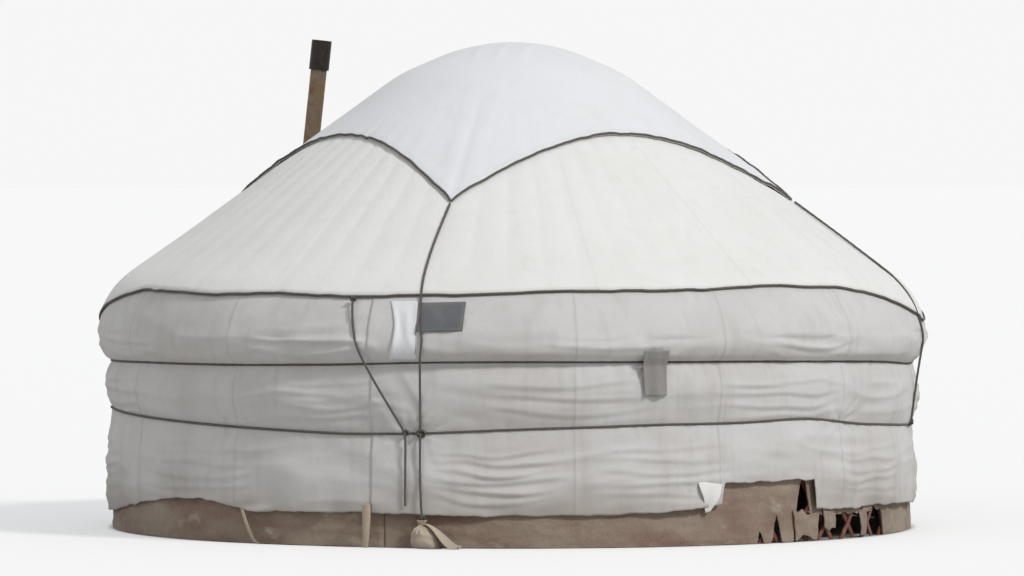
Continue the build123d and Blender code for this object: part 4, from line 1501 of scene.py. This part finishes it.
class TENT_OT_ground_pieces(bpy.types.Operator):
    """Add the weight sack, the leaning stake and the loose strap at the wall's foot"""

    bl_idname = "tent.ground_pieces"
    bl_label = "Sack, Stake and Strap"

    def execute(self, context):
        self.sack()
        self.tail()
        self.stake()
        self.strap()
        return {"FINISHED"}

    def sack(self):
        """Tied cloth sack, slumped on the ground."""
        ball = 0.1
        sack_out = 2.957
        deselect()
        bpy.ops.mesh.primitive_uv_sphere_add(segments=64, ring_count=44, radius=ball,
                                             location=(0, 0, 0))
        piece = bpy.context.object
        piece.name = "sack_weight"
        mesh = piece.data
        count = len(mesh.vertices)
        points = np.empty(count * 3)
        mesh.vertices.foreach_get("co", points)
        points = points.reshape(-1, 3)
        turn = np.arctan2(points[:, 1], points[:, 0])
        level = points[:, 2] / ball
        share = (level + 1) / 2
        outline = np.interp(
            share, (0, 0.02, 0.12, 0.3, 0.5, 0.66, 0.76, 0.82, 0.88, 0.95, 1.0),
            (0.0, 0.055, 0.078, 0.085, 0.08, 0.06, 0.034, 0.019, 0.024, 0.034, 0.0),
        )
        height = np.interp(share, (0, 0.1, 0.5, 0.76, 0.82, 0.95, 1.0),
                           (0.001, 0.012, 0.1, 0.15, 0.163, 0.196, 0.19))
        gather = np.clip((share - 0.45) / 0.35, 0, 1) * np.clip((1.2 - share) / 0.3, 0, 1)
        pucker = 1 + 0.16 * gather * np.cos(turn * 13 + 2 * np.sin(turn * 3))
        slump = 1 + 0.1 * np.cos(turn - 0.6) * (1 - share)
        slump = slump + 0.08 * speckle(turn, share, 0.5, 0.2, 95)
        dents = 1 + 0.05 * speckle(turn * 1.3, share, 0.7, 0.12, 96) * np.sin(pi * share)
        reach = np.minimum(outline * pucker * slump * dents, 0.087)
        low = np.clip(1 - share / 0.7, 0, 1)
        height = height - 0.02 * np.clip(np.cos(turn), 0, 1) * low * (share > 0.02)
        height = np.maximum(height, 0.001)
        place = np.stack([
            reach * np.cos(turn) * (1 + 0.4 * low) + 0.035 * low,
            -sack_out + reach * np.sin(turn), height,
        ], axis=1)
        mesh.vertices.foreach_set("co", place.ravel())
        mesh.uv_layers[0].name = "cloth"
        values = np.empty(len(mesh.loops) * 2)
        mesh.uv_layers[0].data.foreach_get("uv", values)
        mesh.uv_layers[0].data.foreach_set("uv", values * 0.5)
        mesh.update()
        settle(piece)
        bpy.ops.object.shade_smooth()
        dress(piece, canvas_finish("sack"), "sack_cloth", "weight_sack")

    def tail(self):
        """Spare cloth of the sack, fallen to one side on the ground."""
        share = np.linspace(0, 1, 40)[:, None]
        across = np.linspace(-1, 1, 24)[None, :]
        x = 0.02 + 0.25 * share + 0.01 * across
        z = 0.165 * (1 - ease(share * 1.05)) + 0.006
        z = z + 0.016 * np.sin(across * 5 + 5 * share) * share
        width = 0.02 + 0.06 * ease(share * 1.6) * (1 - 0.35 * share)
        y = -2.968 - 0.01 * share + across * width
        z = np.maximum(z + 0.02 * (1 - across ** 2) * share * (1.15 - share), 0.004)
        points = gathered(x, y, z)
        places = gathered(across * 0.075, share * 0.32)
        piece = cloth("sack_tail", points[::-1], places, 0.0025)
        dress(piece, canvas_finish("sack"), "sack_cloth")

    def stake(self):
        """Split wooden stake, driven in and leaning on the wall's foot."""
        tall = 0.3
        away = 2.945
        deselect()
        bpy.ops.mesh.primitive_cylinder_add(vertices=9, radius=0.027, depth=tall,
                                            location=(0, 0, tall / 2))
        piece = bpy.context.object
        piece.name = "stake_leaning"
        bpy.ops.object.transform_apply(location=True, rotation=False, scale=False)
        bpy.ops.object.mode_set(mode="EDIT")
        bpy.ops.mesh.select_all(action="SELECT")
        bpy.ops.mesh.subdivide(number_cuts=2)
        bpy.ops.object.mode_set(mode="OBJECT")
        for vertex in piece.data.vertices:
            share = vertex.co.z / tall
            grow = 0.72 + 0.35 * share + 0.08 * sin(share * 9 + vertex.co.x * 90)
            vertex.co.x = vertex.co.x * grow * 1.15 + 0.006 * sin(share * 5)
            vertex.co.y = vertex.co.y * grow * 0.75
            if share > 0.99:
                vertex.co.z += 0.012 * sin(vertex.co.x * 120 + 1)
        apply_modifier(piece, "BEVEL", width=0.003, segments=2, limit_method="ANGLE")
        make_active(piece)
        turn = radians(-8)
        piece.rotation_euler = (radians(4), radians(5), turn)
        piece.location = (away * sin(turn), -away * cos(turn), -0.006)
        settle(piece)
        lowest = min(vertex.co.z for vertex in piece.data.vertices)
        for vertex in piece.data.vertices:
            vertex.co.z -= lowest
        material = wood_material("Bare Stake", (0.47, 0.4, 0.31), (0.55, 0.49, 0.4), 0.8)
        dress(piece, material, "pole_wood")

    def strap(self):
        """Pale strap that runs slack from the canvas hem to the ground."""
        path = rounded_path(on_tent(
            np.array([2.905, 2.93, 2.955, 2.965, 2.962]),
            np.array([-28.2, -27.6, -26.3, -25.1, -24.3]),
            np.array([0.3, 0.235, 0.13, 0.03, 0.006]),
        ), rounds=3)
        path, along = even_path(path, 0.01)
        wide = np.linspace(-0.013, 0.013, 5)
        side = np.array([cos(radians(-26)), sin(radians(-26)), 0.15])
        points = path[:, None, :] + wide[None, :, None] * side[None, None, :]
        points[..., 2] = np.maximum(points[..., 2], 0.004)
        places = gathered(wide[None, :], along[:, None])
        piece = cloth("strap_loose", points[::-1], places, 0.0025)
        dress(piece, canvas_finish("sack"), "wall_canvas")


# Wood and metal

class TENT_OT_wood(bpy.types.Operator):
    """Paint the lattice, the poles, the crown and the door frame"""

    bl_idname = "tent.wood"
    bl_label = "Wooden Frame"

    def execute(self, context):
        colours = context.scene.tent_colours
        bare = (0.27, 0.16, 0.1)
        repaint(wood_material("Lath Wood", colours.paint, bare, 0.75), "lattice_section")
        repaint(wood_material("Pole Wood", colours.paint, bare, 0.5), "roof_poles", "crown_ring",
                "crown_bars")
        repaint(wood_material("Frame Wood", colours.paint, bare, 0.9), "door_jamb", "door_lintel",
                "door_sill")
        return {"FINISHED"}


class TENT_OT_metal(bpy.types.Operator):
    """Give the stovepipe, its cap and the flashing their rust and soot"""

    bl_idname = "tent.metal"
    bl_label = "Stovepipe"

    def execute(self, context):
        repaint(steel_material("Rusty Pipe", (0.16, 0.13, 0.09), (0.2, 0.1, 0.045), 0.8),
                "stove_pipe")
        repaint(steel_material("Sooty Cap", (0.02, 0.019, 0.018), (0.05, 0.03, 0.02), 0.35),
                "pipe_cap")
        repaint(steel_material("Dull Tin", (0.45, 0.44, 0.42), (0.25, 0.14, 0.08), 0.4),
                "pipe_flashing")
        return {"FINISHED"}


# Stage

class TENT_OT_stage(bpy.types.Operator):
    """Set the pale floor, the soft lamps and the long-lens camera"""

    bl_idname = "tent.stage"
    bl_label = "Stage"

    def execute(self, context):
        scene = context.scene
        scene.view_settings.view_transform = "Standard"
        deselect()
        bpy.ops.mesh.primitive_circle_add(vertices=96, radius=400, fill_type="NGON")
        floor = context.object
        floor.name = "studio_floor"
        floor.data.materials.append(plain_stage_material("Studio Floor", scene.tent_colours.floor))
        self.world(scene)
        for name, azimuth, elevation, strength, spread in (
            ("key", 62, 40, 1.85, 10), ("fill", -50, 30, 0.22, 40),
        ):
            bpy.ops.object.light_add(type="SUN", location=(0, 0, 12))
            lamp = context.object
            lamp.name = f"lamp_{name}"
            lamp.data.energy = strength
            lamp.data.angle = radians(spread)
            turn = radians(azimuth)
            toward = Vector((-sin(turn) * cos(radians(elevation)),
                             cos(turn) * cos(radians(elevation)), -sin(radians(elevation))))
            lamp.rotation_euler = toward.to_track_quat("-Z", "Y").to_euler()
        turn = radians(12)
        away = 50.0
        eye_height = 2.75
        aim_height = 1.72
        bpy.ops.object.camera_add(location=(away * sin(turn), -away * cos(turn), eye_height))
        camera = context.object
        camera.name = "long_lens"
        camera.data.sensor_width = 36
        camera.data.lens = 243
        camera.data.clip_end = 2000
        aim = Vector((0, 0, aim_height)) - camera.location
        camera.rotation_euler = aim.to_track_quat("-Z", "Y").to_euler()
        scene.camera = camera
        return {"FINISHED"}

    def world(self, scene):
        """Even pale light from all round, and a white backdrop for the camera."""
        world = bpy.data.worlds.new("Studio")
        scene.world = world
        world.use_nodes = True
        tree = world.node_tree
        tree.nodes.clear()
        light, backdrop = (
            add_node(tree, "ShaderNodeBackground", {"Color": colour, "Strength": strength})
            for colour, strength in (((0.93, 0.96, 1, 1), 0.5), ((1, 1, 1, 1), 0.925))
        )
        mix = tree.nodes.new("ShaderNodeMixShader")
        out = tree.nodes.new("ShaderNodeOutputWorld")
        tree.links.new(seen_mask(tree), mix.inputs[0])
        tree.links.new(light.outputs[0], mix.inputs[1])
        tree.links.new(backdrop.outputs[0], mix.inputs[2])
        tree.links.new(mix.outputs[0], out.inputs["Surface"])


class TENT_PT_panel(bpy.types.Panel):
    """Sizes, colours and steps of the tent"""

    bl_idname = "TENT_PT_panel"
    bl_label = "Round Trellis Tent"
    bl_space_type = "VIEW_3D"
    bl_region_type = "UI"
    bl_category = "Tent"

    def draw(self, context):
        layout = self.layout
        for group in (context.scene.tent_sizes, context.scene.tent_colours):
            box = layout.box()
            for name in group.__annotations__:
                box.prop(group, name)
        for step in STEPS:
            layout.operator(step.bl_idname)


STEPS = (
    TENT_OT_stage, TENT_OT_wood, TENT_OT_metal, TENT_OT_wall_felts, TENT_OT_roof_felts,
    TENT_OT_wall_canvas, TENT_OT_roof_canvas, TENT_OT_crown_cover, TENT_OT_waist_ropes,
    TENT_OT_crown_ropes, TENT_OT_small_cloths, TENT_OT_door_curtain, TENT_OT_ground_pieces,
)
CLASSES = (TentSizes, TentColours, *STEPS, TENT_PT_panel)


def register():
    """Registers the classes and the scene's sizes and colours."""
    for cls in CLASSES:
        bpy.utils.register_class(cls)
    bpy.types.Scene.tent_sizes = PointerProperty(type=TentSizes)
    bpy.types.Scene.tent_colours = PointerProperty(type=TentColours)


def unregister():
    """Takes the classes and properties away again."""
    del bpy.types.Scene.tent_colours
    del bpy.types.Scene.tent_sizes
    for cls in reversed(CLASSES):
        bpy.utils.unregister_class(cls)


def main():
    """Dresses the tent step by step."""
    register()
    for step in STEPS:
        group, name = step.bl_idname.split(".")
        getattr(getattr(bpy.ops, group), name)()


if __name__ == "__main__":
    main()
